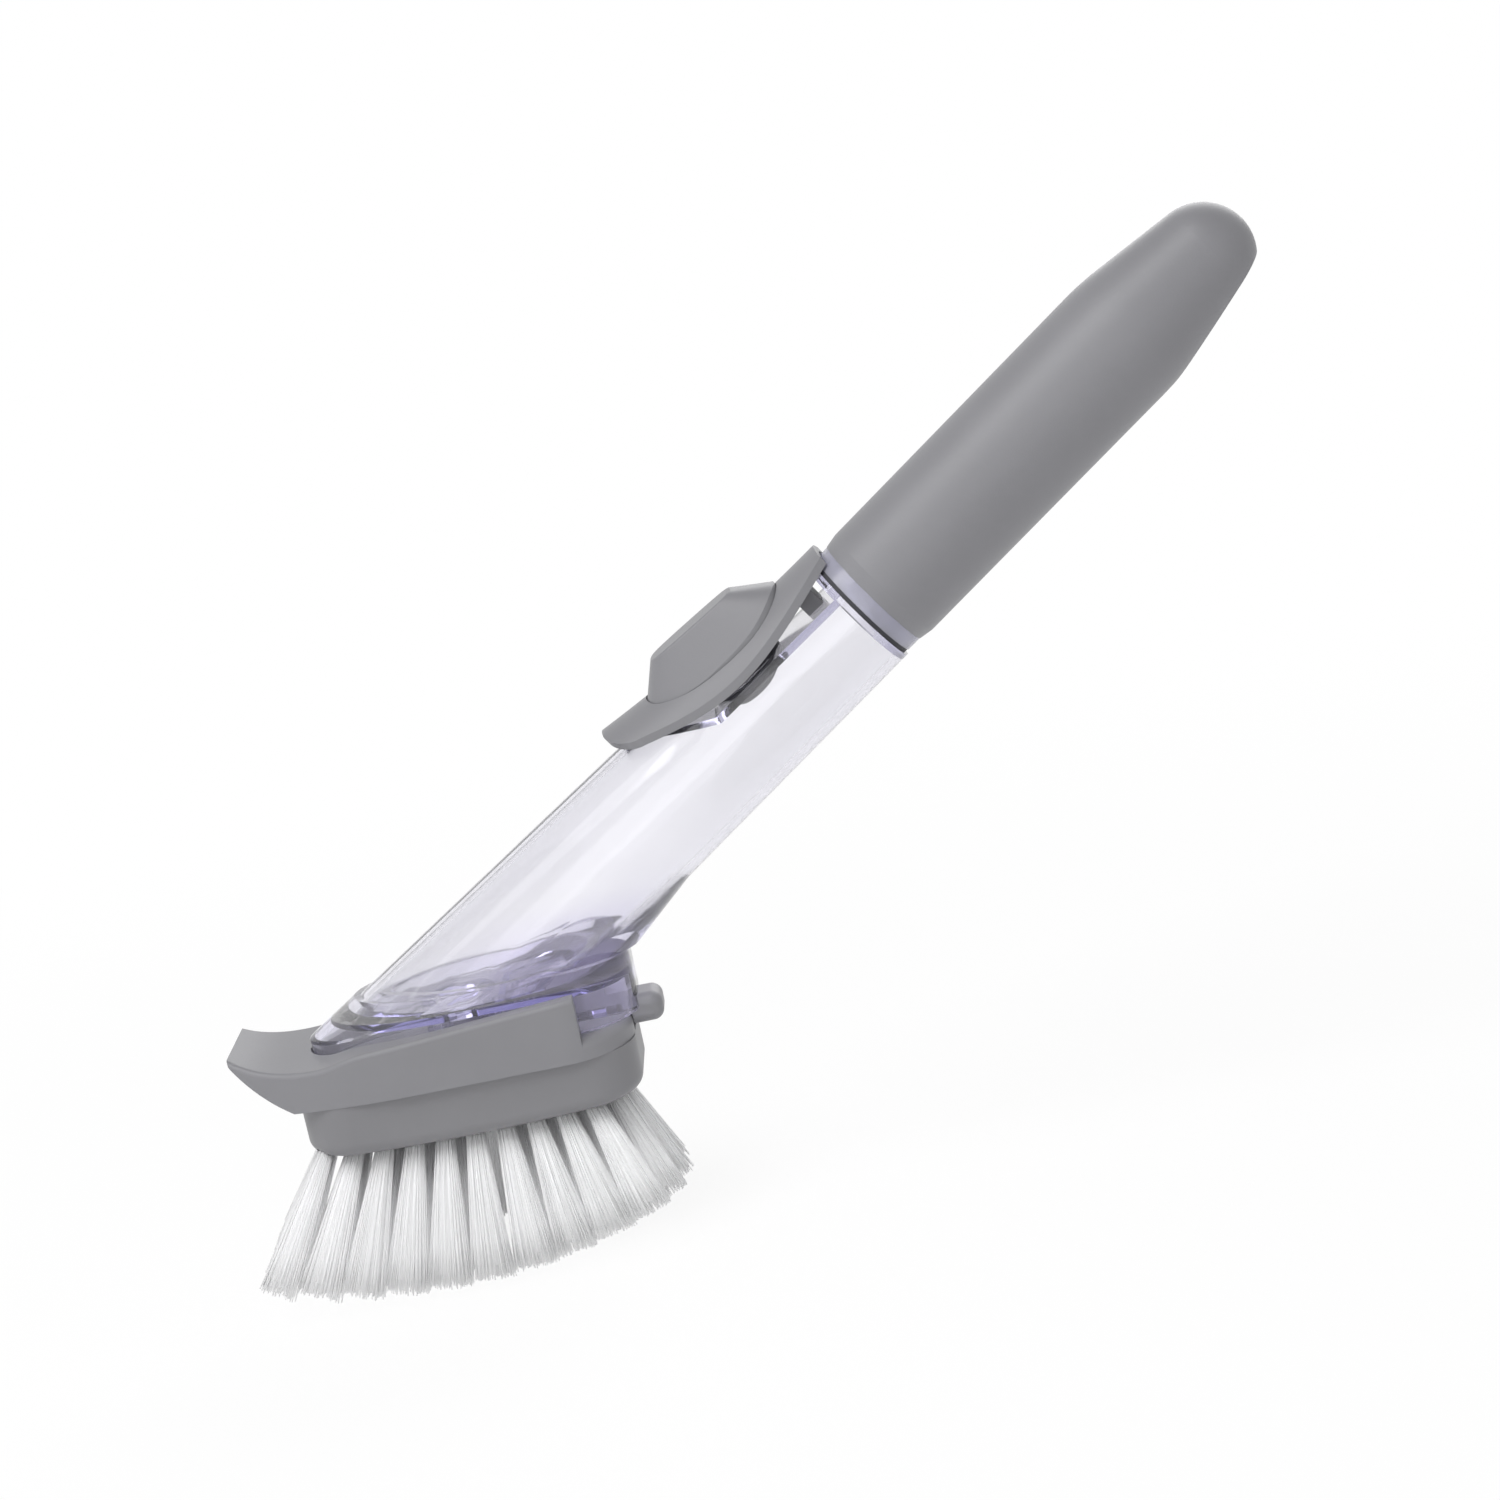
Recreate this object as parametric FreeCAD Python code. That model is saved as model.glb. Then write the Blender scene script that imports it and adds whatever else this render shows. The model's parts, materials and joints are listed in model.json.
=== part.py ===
import FreeCAD, Part
import math
import os
from FreeCAD import Placement, Rotation, Vector

# Clearances, all sizes in millimetres and degrees
FIT = 0.1
RUN = 0.3

# Layout of the whole wand: the head lies flat, the handle rises behind it
HANDLE_ANGLE = 34.6
TANK_LENGTH = 116.1
AXIS_OFFSET = 6.7

# Brush head: shoe, bristle plate, tufts
HEAD_REAR = 35.2
SHOE_HALF_WIDTH = 20.0
SHOE_SHOULDER = -10.0
SHOE_TOE = -36.8
SCRAPER_REACH = 12.2
SCRAPER_HALF_WIDTH = 12.0
SCRAPER_HEIGHT = 12.8
SCRAPER_EDGE = 1.2
NOSE_DIP = 8.5
NOSE_DIP_BACK = 4.0
NOSE_RISE_LENGTH = 14.0
NOSE_RUN_OUT = 0.5
NOSE_BELLY = 1.0
SHOE_DECK = 4.6
SHOE_WALL_FRONT = 10.7
SHOE_WALL_REAR = 13.6
SHOE_WALL_END = 25.0
HEEL_CORNER = 14.0
SHOE_EDGE_ROUND = 1.0
HEEL_EDGE_ROUND = 2.2
PLATE_INSET = 1.5
PLATE_FRONT_INSET = 0.2
PLATE_CORNER = 11.0
PLATE_DEPTH = 12.0
PLATE_CROWN = 1.2
PLATE_EDGE_ROUND = 3.0
TUFT_COLUMNS = 10
TUFT_ROWS = 5
TUFT_FRONT_MARGIN = 3.4
TUFT_REAR_MARGIN = 7.0
TUFT_SIDE_MARGIN = 5.5
TUFT_CORNER_MARGIN = 4.2
TUFT_LENGTH = 33.0
TUFT_REAR_SHORTER = 6.8
TUFT_FRONT_SHORTER = 1.6
TUFT_ROOT_RADIUS = 2.0
TUFT_TIP_RADIUS = 4.2
TUFT_SEAT = 5.0
TUFT_LEAN_FRONT = -31.0
TUFT_LEAN_REAR = 18.0
TUFT_LEAN_SIDE = 14.0
ANCHOR_HEIGHT = 1.6
ANCHOR_THICKNESS = 0.4
SOAP_HOLE_RADIUS = 3.5

# Clear foot under the tank
FOOT_HALF_WIDTH = 15.8
FOOT_TOE = 33.0
FOOT_HEEL = 37.3
FOOT_CORNER = 13.0
FOOT_SEAT_GAP = 0.3
FOOT_SIDE_GAP = 0.4
SEAM_HEIGHT = 14.5
LEDGE_RISE = 3.6
LEDGE_STEP = 0.8
FOOT_FLOOR = 2.0
SPIGOT_HEIGHT = 3.6
SPIGOT_WALL = 1.6
CLEAR_WALL = 2.0

# Soap outlet in the foot
VALVE_RADIUS = 5.0
VALVE_BOSS_WALL = 3.0
VALVE_LIP = 1.2
VALVE_FLANGE = 1.3
VALVE_DOME_RADIUS = 2.6
VALVE_DOME_HEIGHT = 1.8
VALVE_SKIN = 0.8
VALVE_SLIT = 0.3
RETAINER_WALL = 1.8

# Head release: knob, slide, spring and the catch that it holds
KNOB_HALF_WIDTH = 5.0
KNOB_HEIGHT = 6.4
KNOB_REACH = 4.7
KNOB_ROUND = 2.4
KNOB_DROP = 3.8
KNOB_WEB = 2.0
RELEASE_TRAVEL = 3.0
SLIDE_FLOOR = 1.4
CHAMBER_WALL = 1.5
CATCH_FRONT = 24.0
CATCH_THICKNESS = 2.0
CATCH_HALF_WIDTH = 2.5
CATCH_NOSE = 2.0
CATCH_NOSE_HEIGHT = 1.5
CATCH_HEADROOM = 1.5
CATCH_PLAY = 0.5
SLIDE_BAR = 6.5
CHEEK_LENGTH = 7.0
SPRING_PLAY = 0.5
SPRING_WIRE = 0.5
SPRING_TURNS = 4

# Tank tube, its neck and the screw thread
TANK_TOP_RADIUS = 13.57
TANK_AXIS_DROP = 0.35
TANK_TAPER = 1.1
FLARE_START = -64.0
FLARE_LENGTH = 60.0
FLARE_DROP = 3.6
FLANGE_THICKNESS = 1.6
FLANGE_FLAT = 11.2
NECK_RADIUS = 9.2
NECK_WALL = 2.6
NECK_HEIGHT = 14.0
THREAD_PITCH = 5.0
THREAD_DEPTH = 1.1
THREAD_BASE = 1.8
THREAD_CREST = 0.8
THREAD_TURNS = 2.0
THREAD_START = 1.5

# Pump on the tank's upper side
DECK_HEIGHT = 6.8
DECK_MARGIN = 0.6
RAMP_SLOPE = 0.5
PUMP_CENTRE = -25.9
PUMP_TRAVEL = 4.0
SADDLE_RADIUS = 14.2
SADDLE_WALL = 1.8
SADDLE_RISE = 2.53
SADDLE_TILT = 3.2
SADDLE_SWEEP = 400.0
SADDLE_REAR = 2.1
SADDLE_REAR_HALF_WIDTH = 6.9
SADDLE_HALF_WIDTH = 12.4
SADDLE_WAIST = -29.0
SADDLE_FRONT = -56.0
SADDLE_NOSE_LENGTH = 6.0
SADDLE_NOSE_HALF_WIDTH = 10.3
SADDLE_NOSE_FLAT = 3.5
SADDLE_HEEL = -8.2
SADDLE_FOOT_LENGTH = 4.0
SADDLE_FOOT_HALF_WIDTH = 4.5
BUTTON_CENTRE = -27.1
BUTTON_TOP = 22.7
BUTTON_LENGTH = 21.8
BUTTON_WIDTH = 11.0
BUTTON_END_SLOPE = 1.25
BUTTON_SIDE_SLOPE = 0.446
BUTTON_SKIRT_LENGTH = 36.5
BUTTON_SKIRT_WIDTH = 19.4
BUTTON_TOP_POWER = 3.5
BUTTON_BASE_POWER = 2.6
BUTTON_POINTS = 40
BUTTON_WALL = 1.8
BUTTON_EDGE_ROUND = 0.8
PLUNGER_RADIUS = 3.0
DIAPHRAGM_LENGTH = 15.8
DIAPHRAGM_WIDTH = 11.0
DIAPHRAGM_DEPTH = 2.1
DIAPHRAGM_SKIN = 1.2
DIAPHRAGM_LIP = 1.2

# Handle: clear threaded core, seal and grip
GASKET_THICKNESS = 0.9
GASKET_LIP = 0.2
BAND_HEIGHT = 3.3
BAND_STEP = 0.6
SLEEVE_WALL = 1.7
SLEEVE_CEILING = 2.0
SLEEVE_HEADROOM = 3.8
GRIP_RADIUS = 13.95
GRIP_LENGTH = 105.5
GRIP_TIP_RADIUS = 11.0
GRIP_TAPER = 7.8
GRIP_LOWER_CHAMFER = 0.5
GRIP_CHAMFER_LENGTH = 3.0
GRIP_SHOULDER_ROUND = 60.0
GRIP_HOLLOW_WALL = 3.0
GRIP_HOLLOW_LENGTH = 50.0
GRIP_FLAT_SLOPE = 13.0
GRIP_FLAT_TIP = 7.0
GRIP_FLAT_TIP_BACK = 3.5
HANG_HOLE_RADIUS = 4.0
HANG_HOLE_DEPTH = 8.0
HANG_HOLE_BACK = 18.0

# Worked out from the sizes above
BIG = 400.0
PLATE_FRONT = SHOE_TOE + PLATE_FRONT_INSET
PLATE_HALF_WIDTH = SHOE_HALF_WIDTH - PLATE_INSET
FOOT_BOTTOM = SHOE_DECK + FOOT_SEAT_GAP
FOOT_FLOOR_UNDER = SEAM_HEIGHT - FOOT_FLOOR
BORE_TOP = FOOT_FLOOR_UNDER - VALVE_LIP
FLANGE_TOP = -BAND_HEIGHT - GASKET_THICKNESS
FLANGE_UNDER = FLANGE_TOP - FLANGE_THICKNESS
BAND_RADIUS = GRIP_RADIUS - BAND_STEP
THREAD_CREST_RADIUS = NECK_RADIUS + THREAD_DEPTH
SLEEVE_BORE = THREAD_CREST_RADIUS + RUN
SLEEVE_RADIUS = SLEEVE_BORE + SLEEVE_WALL
SLEEVE_TOP = NECK_HEIGHT + SLEEVE_HEADROOM + SLEEVE_CEILING
NECK_BORE = NECK_RADIUS - NECK_WALL
SLIDE_UNDER = FOOT_BOTTOM + SLIDE_FLOOR + RUN
SLIDE_TOP = FOOT_FLOOR_UNDER - CATCH_HEADROOM - CATCH_NOSE_HEIGHT - RUN
SPRING_RADIUS = (FOOT_FLOOR_UNDER - SLIDE_UNDER - SPRING_WIRE) / 2 - SPRING_PLAY
BAR_BACK = CATCH_FRONT - CATCH_PLAY
BAR_FRONT = BAR_BACK - SLIDE_BAR
CHEEK_BACK = BAR_BACK + CHEEK_LENGTH
KNOB_UNDER = SHOE_DECK - KNOB_DROP
KNOB_TOP = KNOB_UNDER + KNOB_HEIGHT
KNOB_TIP = FOOT_HEEL + KNOB_REACH
KNOB_ROOT = FOOT_HEEL - CLEAR_WALL
KNOB_INNER = KNOB_ROOT - KNOB_WEB - RELEASE_TRAVEL - RUN
CHAMBER_FRONT = VALVE_RADIUS + VALVE_BOSS_WALL + CHAMBER_WALL
SPRING_FRONT = CHAMBER_FRONT + CHAMBER_WALL
DECK_UNDER = DECK_HEIGHT - CLEAR_WALL
DECK_LENGTH = DECK_MARGIN + DIAPHRAGM_LIP + DIAPHRAGM_LENGTH / 2 - PUMP_CENTRE
BUTTON_BASE = DECK_HEIGHT + DIAPHRAGM_SKIN + PUMP_TRAVEL + RUN


def at_y(angle):
    return Rotation(Vector(0, 1, 0), angle)


def handle_place():
    # x runs up the handle's axis from the grip's lower end, z is the handle's upper side
    reach = math.radians(HANDLE_ANGLE)
    x = AXIS_OFFSET + TANK_LENGTH * math.cos(reach)
    z = SEAM_HEIGHT + TANK_LENGTH * math.sin(reach)
    return Placement(Vector(x, 0, z), at_y(-HANDLE_ANGLE))


def tank_place():
    # x runs up the tank's own axis from the flange's top, z is the pump's side
    return handle_place().multiply(Placement(Vector(FLANGE_TOP, 0, -TANK_AXIS_DROP), at_y(TANK_TAPER)))


def placed(shape, place):
    moved = shape.copy()
    moved.Placement = place.multiply(moved.Placement)
    return moved


def block(x0, x1, half_width, z0, z1):
    return Part.makeBox(x1 - x0, 2 * half_width, z1 - z0, Vector(x0, -half_width, z0))


def rod(radius, x0, x1):
    return Part.makeCylinder(radius, x1 - x0, Vector(x0, 0, 0), Vector(1, 0, 0))


def post(radius, z0, z1, x=0.0):
    return Part.makeCylinder(radius, z1 - z0, Vector(x, 0, z0))


def arc_mid(centre, radius, degrees):
    turn = math.radians(degrees)
    return centre + Vector(radius * math.cos(turn), radius * math.sin(turn), 0)


def corner(centre, radius, start):
    ends = [arc_mid(centre, radius, start + step) for step in (0, 45, 90)]
    return Part.Arc(*ends).toShape()


def line(start, end):
    return Part.LineSegment(start, end).toShape()


def rounded_wire(x0, x1, half_width, radius, z):
    near = radius - half_width
    far = half_width - radius
    centres = [
        Vector(x1 - radius, far, z),
        Vector(x0 + radius, far, z),
        Vector(x0 + radius, near, z),
        Vector(x1 - radius, near, z),
    ]
    edges = []
    for i, centre in enumerate(centres):
        start = 90 * i
        after = centres[(i + 1) % 4]
        edges.append(corner(centre, radius, start))
        edges.append(line(arc_mid(centre, radius, start + 90), arc_mid(after, radius, start + 90)))
    return Part.Wire(Part.__sortEdges__(edges))


def prism(wire, height):
    return Part.Face(wire).extrude(Vector(0, 0, height))


def rounded_prism(x0, x1, half_width, radius, z0, z1):
    return prism(rounded_wire(x0, x1, half_width, radius, z0), z1 - z0)


def side_profile(edges, half_width):
    # a drawing in the x-z plane, made as wide as the piece
    face = Part.Face(Part.Wire(Part.__sortEdges__(edges)))
    face.translate(Vector(0, -half_width, 0))
    return face.extrude(Vector(0, 2 * half_width, 0))


def shoe_outline(z0, z1):
    tip = SHOE_TOE - SCRAPER_REACH
    run = SHOE_SHOULDER - tip
    drop = SHOE_HALF_WIDTH - SCRAPER_HALF_WIDTH
    radius = (run * run + drop * drop) / (2 * drop)
    sweep = math.degrees(math.asin(run / radius))
    corner_y = SHOE_HALF_WIDTH - HEEL_CORNER
    heel_x = HEAD_REAR - HEEL_CORNER
    far_centre = Vector(SHOE_SHOULDER, SHOE_HALF_WIDTH - radius, z0)
    near_centre = Vector(SHOE_SHOULDER, radius - SHOE_HALF_WIDTH, z0)
    far = [arc_mid(far_centre, radius, 90 + sweep * share) for share in (0, 0.5, 1)]
    near = [arc_mid(near_centre, radius, 270 - sweep * share) for share in (0, 0.5, 1)]
    edges = [
        Part.Arc(*far).toShape(),
        Part.Arc(*near).toShape(),
        line(far[2], near[2]),
        line(far[0], Vector(heel_x, SHOE_HALF_WIDTH, z0)),
        line(near[0], Vector(heel_x, -SHOE_HALF_WIDTH, z0)),
        corner(Vector(heel_x, corner_y, z0), HEEL_CORNER, 0),
        corner(Vector(heel_x, -corner_y, z0), HEEL_CORNER, 270),
        line(Vector(HEAD_REAR, corner_y, z0), Vector(HEAD_REAR, -corner_y, z0)),
    ]
    return prism(Part.Wire(Part.__sortEdges__(edges)), z1 - z0)


def shoe_profile():
    tip = SHOE_TOE - SCRAPER_REACH
    dip_x = SHOE_TOE + NOSE_DIP_BACK
    rise_x = dip_x + NOSE_RISE_LENGTH
    edge_low = Vector(tip, 0, SCRAPER_HEIGHT - SCRAPER_EDGE)
    edge_high = Vector(tip, 0, SCRAPER_HEIGHT)
    dip = Vector(dip_x, 0, NOSE_DIP)
    rise = Vector(rise_x, 0, SHOE_WALL_FRONT)
    scoop = Part.BezierCurve()
    scoop.setPoles([edge_high, Vector(tip + SCRAPER_REACH / 2, 0, NOSE_DIP), dip])
    ramp = Part.BezierCurve()
    middle = (dip_x + rise_x) / 2
    run_out = Vector(middle, 0, SHOE_WALL_FRONT - NOSE_RUN_OUT)
    ramp.setPoles([dip, Vector(middle, 0, NOSE_DIP), run_out, rise])
    corners = [
        rise,
        Vector(SHOE_WALL_END, 0, SHOE_WALL_REAR),
        Vector(SHOE_WALL_END, 0, SHOE_DECK),
        Vector(HEAD_REAR, 0, SHOE_DECK),
        Vector(HEAD_REAR, 0, 0),
        Vector(SHOE_TOE, 0, 0),
    ]
    edges = [line(a, b) for a, b in zip(corners, corners[1:])]
    under = edge_low - corners[-1]
    belly = corners[-1] + under * 0.5 + Vector(-under.z, 0, under.x).normalize() * NOSE_BELLY
    edges += [Part.Arc(corners[-1], belly, edge_low).toShape(), line(edge_low, edge_high)]
    return side_profile(edges + [scoop.toShape(), ramp.toShape()], BIG)


def foot_prism(inset, z0, z1):
    # front half an ellipse, back half a rounded box
    half = FOOT_HALF_WIDTH - inset
    toe = FOOT_TOE - inset
    heel = FOOT_HEEL - inset
    radius = FOOT_CORNER - inset
    ellipse = Part.Wire(Part.Ellipse(Vector(0, 0, z0), toe, half).toShape())
    front = prism(ellipse, z1 - z0).common(block(-BIG, 0, BIG, z0, z1))
    back = rounded_prism(-2 * radius, heel, half, radius, z0, z1)
    back = back.common(block(0, BIG, BIG, z0, z1))
    return front.fuse(back).removeSplitter()


def tank_radius(s):
    return TANK_TOP_RADIUS - s * math.tan(math.radians(TANK_TAPER))


def tank_cone(inset, s_low, s_high):
    low = tank_radius(s_low) - inset
    high = tank_radius(s_high) - inset
    return Part.makeCone(low, high, s_high - s_low, Vector(s_low, 0, 0), Vector(1, 0, 0))


def long_cone(inset):
    return placed(tank_cone(inset, -2 * TANK_LENGTH, TANK_LENGTH / 4), tank_place())


def foot_body(inset, z0, z1):
    # the tube's slanted front runs on down to the toe with a small ledge, behind it the foot is upright
    upright = block(AXIS_OFFSET / 2, BIG, BIG, z0, z1)
    return foot_prism(inset, z0, z1).common(long_cone(inset - LEDGE_STEP).fuse(upright))


def oval(length, width, z0, z1):
    half = length / 2
    return rounded_prism(PUMP_CENTRE - half, PUMP_CENTRE + half, width / 2, width / 2 - FIT, z0, z1)


def brush_shoe():
    shoe = shoe_outline(0, BIG).common(shoe_profile())
    rim = [e for e in shoe.Edges if e.BoundBox.ZMin > NOSE_DIP - FIT and abs(e.CenterOfMass.y) > FIT]
    shoe = shoe.makeFillet(SHOE_EDGE_ROUND, rim)
    heel = [e for e in shoe.Edges if e.BoundBox.ZMin > SHOE_DECK - FIT]
    heel = [e for e in heel if e.BoundBox.ZMax < SHOE_DECK + FIT and e.BoundBox.XMax > SHOE_WALL_END + FIT]
    shoe = shoe.makeFillet(HEEL_EDGE_ROUND, heel)
    pocket = foot_prism(-FOOT_SIDE_GAP, SHOE_DECK, BIG)
    shoe = shoe.cut(pocket)
    notch = block(KNOB_ROOT - RELEASE_TRAVEL - RUN, BIG, KNOB_HALF_WIDTH + RUN, -1, BIG)
    shoe = shoe.cut([notch, post(SOAP_HOLE_RADIUS, -1, SHOE_DECK + 1)])
    return shoe.removeSplitter()


def plate_bottom(x):
    middle = (PLATE_FRONT + HEAD_REAR) / 2
    half = (HEAD_REAR - PLATE_FRONT) / 2
    return -PLATE_DEPTH + PLATE_CROWN * ((x - middle) / half) ** 2


def tuft_places():
    # root point on the plate's underside, direction and length of every tuft
    first = PLATE_FRONT + TUFT_FRONT_MARGIN
    side = PLATE_HALF_WIDTH - TUFT_SIDE_MARGIN
    places = []
    for row in range(TUFT_ROWS):
        across = 2 * row / (TUFT_ROWS - 1) - 1
        last = HEAD_REAR - TUFT_REAR_MARGIN - TUFT_CORNER_MARGIN * across * across
        for column in range(TUFT_COLUMNS):
            along = column / (TUFT_COLUMNS - 1)
            x = first + along * (last - first)
            y = across * side
            if math.hypot(x, y) < SOAP_HOLE_RADIUS + 2 * TUFT_ROOT_RADIUS:
                continue
            lean = math.radians(TUFT_LEAN_FRONT + along * (TUFT_LEAN_REAR - TUFT_LEAN_FRONT))
            splay = math.radians(TUFT_LEAN_SIDE * across)
            way = Vector(math.tan(lean), math.tan(splay), -1).normalize()
            length = TUFT_LENGTH - TUFT_REAR_SHORTER * along ** 3 - TUFT_FRONT_SHORTER * (1 - along) ** 3
            places.append((Vector(x, y, plate_bottom(x)), way, length))
    return places


def bristle_plate():
    depth = PLATE_DEPTH - PLATE_CROWN
    half = (HEAD_REAR - PLATE_FRONT) / 2
    middle = (PLATE_FRONT + HEAD_REAR) / 2
    radius = (half * half + PLATE_CROWN * PLATE_CROWN) / (2 * PLATE_CROWN)
    plate = rounded_prism(PLATE_FRONT, HEAD_REAR, PLATE_HALF_WIDTH, PLATE_CORNER, -2 * depth, 0)
    crown = Part.makeCylinder(radius, BIG, Vector(middle, -BIG / 2, radius - PLATE_DEPTH), Vector(0, 1, 0))
    plate = plate.common(crown)
    under = [e for e in plate.Edges if e.BoundBox.ZMax < -depth / 2]
    plate = plate.makeFillet(PLATE_EDGE_ROUND, under)
    holes = [post(SOAP_HOLE_RADIUS, -BIG, BIG)]
    for root, way, length in tuft_places():
        deep = TUFT_SEAT + ANCHOR_HEIGHT + FIT
        holes.append(Part.makeCylinder(TUFT_ROOT_RADIUS + FIT, deep + TUFT_SEAT, root - way * deep, way))
    return plate.cut(holes)


def bristle_tufts():
    tufts = []
    for root, way, length in tuft_places():
        seat = Part.makeCylinder(TUFT_ROOT_RADIUS, TUFT_SEAT, root - way * TUFT_SEAT, way)
        flare = Part.makeCone(TUFT_ROOT_RADIUS, TUFT_TIP_RADIUS, length, root, way)
        tufts.append(seat.fuse(flare))
    return Part.makeCompound(tufts)


def tuft_anchors():
    # a flat wire staple in the bottom of every tuft hole
    anchors = []
    for root, way, length in tuft_places():
        half = TUFT_ROOT_RADIUS - FIT
        plate = block(-half, half, ANCHOR_THICKNESS / 2, 0, ANCHOR_HEIGHT)
        deepest = root - way * (TUFT_SEAT + ANCHOR_HEIGHT)
        plate.Placement = Placement(deepest, Rotation(Vector(0, 0, 1), way))
        anchors.append(plate)
    return Part.makeCompound(anchors)


def catch_hook():
    back = CATCH_FRONT + CATCH_THICKNESS
    nose_under = SLIDE_TOP + RUN
    top = nose_under + CATCH_NOSE_HEIGHT
    nose_x = CATCH_FRONT - CATCH_NOSE
    corners = [
        Vector(CATCH_FRONT, 0, SHOE_DECK),
        Vector(back, 0, SHOE_DECK),
        Vector(back, 0, top),
        Vector(CATCH_FRONT, 0, top),
        Vector(nose_x, 0, nose_under + CATCH_NOSE_HEIGHT / 3),
        Vector(nose_x, 0, nose_under),
        Vector(CATCH_FRONT, 0, nose_under),
        Vector(CATCH_FRONT, 0, SHOE_DECK),
    ]
    return side_profile([line(a, b) for a, b in zip(corners, corners[1:])], CATCH_HALF_WIDTH)


def tank_base():
    foot = foot_body(0, FOOT_BOTTOM, SEAM_HEIGHT)
    foot = foot.cut(foot_body(CLEAR_WALL, FOOT_BOTTOM - 1, FOOT_FLOOR_UNDER))
    spigot = long_cone(CLEAR_WALL + FIT).cut(long_cone(CLEAR_WALL + FIT + SPIGOT_WALL))
    spigot = spigot.common(block(-BIG, BIG, BIG, SEAM_HEIGHT, SEAM_HEIGHT + SPIGOT_HEIGHT))
    boss = post(VALVE_RADIUS + VALVE_BOSS_WALL, FOOT_BOTTOM, FOOT_FLOOR_UNDER)
    chamber_half = KNOB_HALF_WIDTH + RUN + CHAMBER_WALL
    chamber = block(CHAMBER_FRONT, FOOT_HEEL, chamber_half, FOOT_BOTTOM, FOOT_FLOOR_UNDER)
    chamber = chamber.common(foot_body(0, FOOT_BOTTOM, SEAM_HEIGHT))
    foot = foot.fuse([spigot, boss, chamber])
    slide_half = KNOB_HALF_WIDTH + RUN
    room_floor = FOOT_BOTTOM + SLIDE_FLOOR
    room = block(SPRING_FRONT, KNOB_ROOT, slide_half, room_floor, FOOT_FLOOR_UNDER)
    knob_room = block(KNOB_INNER, BIG, slide_half, FOOT_BOTTOM - 1, KNOB_TOP + RUN)
    slot_front = CATCH_FRONT - CATCH_NOSE - CATCH_PLAY
    slot_back = CATCH_FRONT + CATCH_THICKNESS + 2 * CATCH_PLAY
    slot = block(slot_front, slot_back, CATCH_HALF_WIDTH + CATCH_PLAY, FOOT_BOTTOM - 1, room_floor + 1)
    bore = post(VALVE_RADIUS, FOOT_BOTTOM - 1, BORE_TOP)
    throat = post(VALVE_RADIUS - VALVE_LIP, FOOT_BOTTOM, SEAM_HEIGHT + 1)
    return foot.cut([room, knob_room, slot, bore, throat]).removeSplitter()


def outlet_valve():
    # soft disc with a slit dome that opens when the tank is squeezed
    seat = BORE_TOP - VALVE_FLANGE
    disc = post(VALVE_RADIUS - FIT, seat, BORE_TOP)
    dome = post(VALVE_DOME_RADIUS, seat - VALVE_DOME_HEIGHT, seat)
    hollow = post(VALVE_DOME_RADIUS - VALVE_SKIN, seat - VALVE_DOME_HEIGHT + VALVE_SKIN, BORE_TOP)
    slit = block(-VALVE_SLIT / 2, VALVE_SLIT / 2, VALVE_DOME_RADIUS - VALVE_SKIN, 0, seat)
    return disc.fuse(dome).cut([hollow, slit]).removeSplitter()


def valve_retainer():
    seat = BORE_TOP - VALVE_FLANGE
    ring = post(VALVE_RADIUS - FIT, FOOT_BOTTOM, seat)
    return ring.cut(post(VALVE_RADIUS - RETAINER_WALL, FOOT_BOTTOM, seat))


def release_button():
    half = KNOB_HALF_WIDTH
    knob = block(KNOB_ROOT, KNOB_TIP, half, KNOB_UNDER, KNOB_TOP)
    outer = [e for e in knob.Edges if e.BoundBox.XMax > KNOB_TIP - FIT]
    knob = knob.makeFillet(KNOB_ROUND, outer)
    tongue = block(BAR_FRONT, KNOB_ROOT, half, SLIDE_UNDER, SLIDE_TOP)
    web = block(KNOB_ROOT - KNOB_WEB, KNOB_ROOT, half, FOOT_BOTTOM + RUN, SLIDE_TOP)
    cheek_top = FOOT_FLOOR_UNDER - RUN
    cheeks = block(BAR_BACK, CHEEK_BACK, half, SLIDE_UNDER, cheek_top)
    window_back = CATCH_FRONT + CATCH_THICKNESS + RELEASE_TRAVEL + CATCH_PLAY
    window = block(BAR_BACK, window_back, CATCH_HALF_WIDTH + CATCH_PLAY, 0, BIG)
    nose_path = block(BAR_FRONT, window_back, CATCH_HALF_WIDTH + CATCH_PLAY, SLIDE_TOP, BIG)
    return knob.fuse([tongue, web, cheeks]).cut([window, nose_path]).removeSplitter()


def biarc(start, start_way, end, end_way):
    # two arcs that meet smoothly between two points of the coil
    chord = end - start
    ways = start_way + end_way
    bend = 2 * (1 - start_way.dot(end_way))
    lead = chord.dot(ways)
    reach = (math.sqrt(lead * lead + bend * chord.dot(chord)) - lead) / bend
    join = (start + start_way * reach + end - end_way * reach) * 0.5
    return [tangent_arc(start, start_way, join), tangent_arc(end, end_way * -1, join)]


def tangent_arc(start, way, end):
    chord = end - start
    length = chord.Length
    along = way.dot(chord) / length
    side = (way - chord * (along / length)).normalize()
    rise = length / 2 * math.tan(math.acos(along) / 2)
    return Part.Arc(start, (start + end) * 0.5 + side * rise, end).toShape()


def spring_point(turn, pitch, start):
    angle = 2 * math.pi * turn
    return start + Vector(pitch * turn, SPRING_RADIUS * math.cos(angle), SPRING_RADIUS * math.sin(angle))


def spring_way(turn, pitch):
    angle = 2 * math.pi * turn
    around = 2 * math.pi * SPRING_RADIUS
    return Vector(pitch, -around * math.sin(angle), around * math.cos(angle)).normalize()


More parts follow.
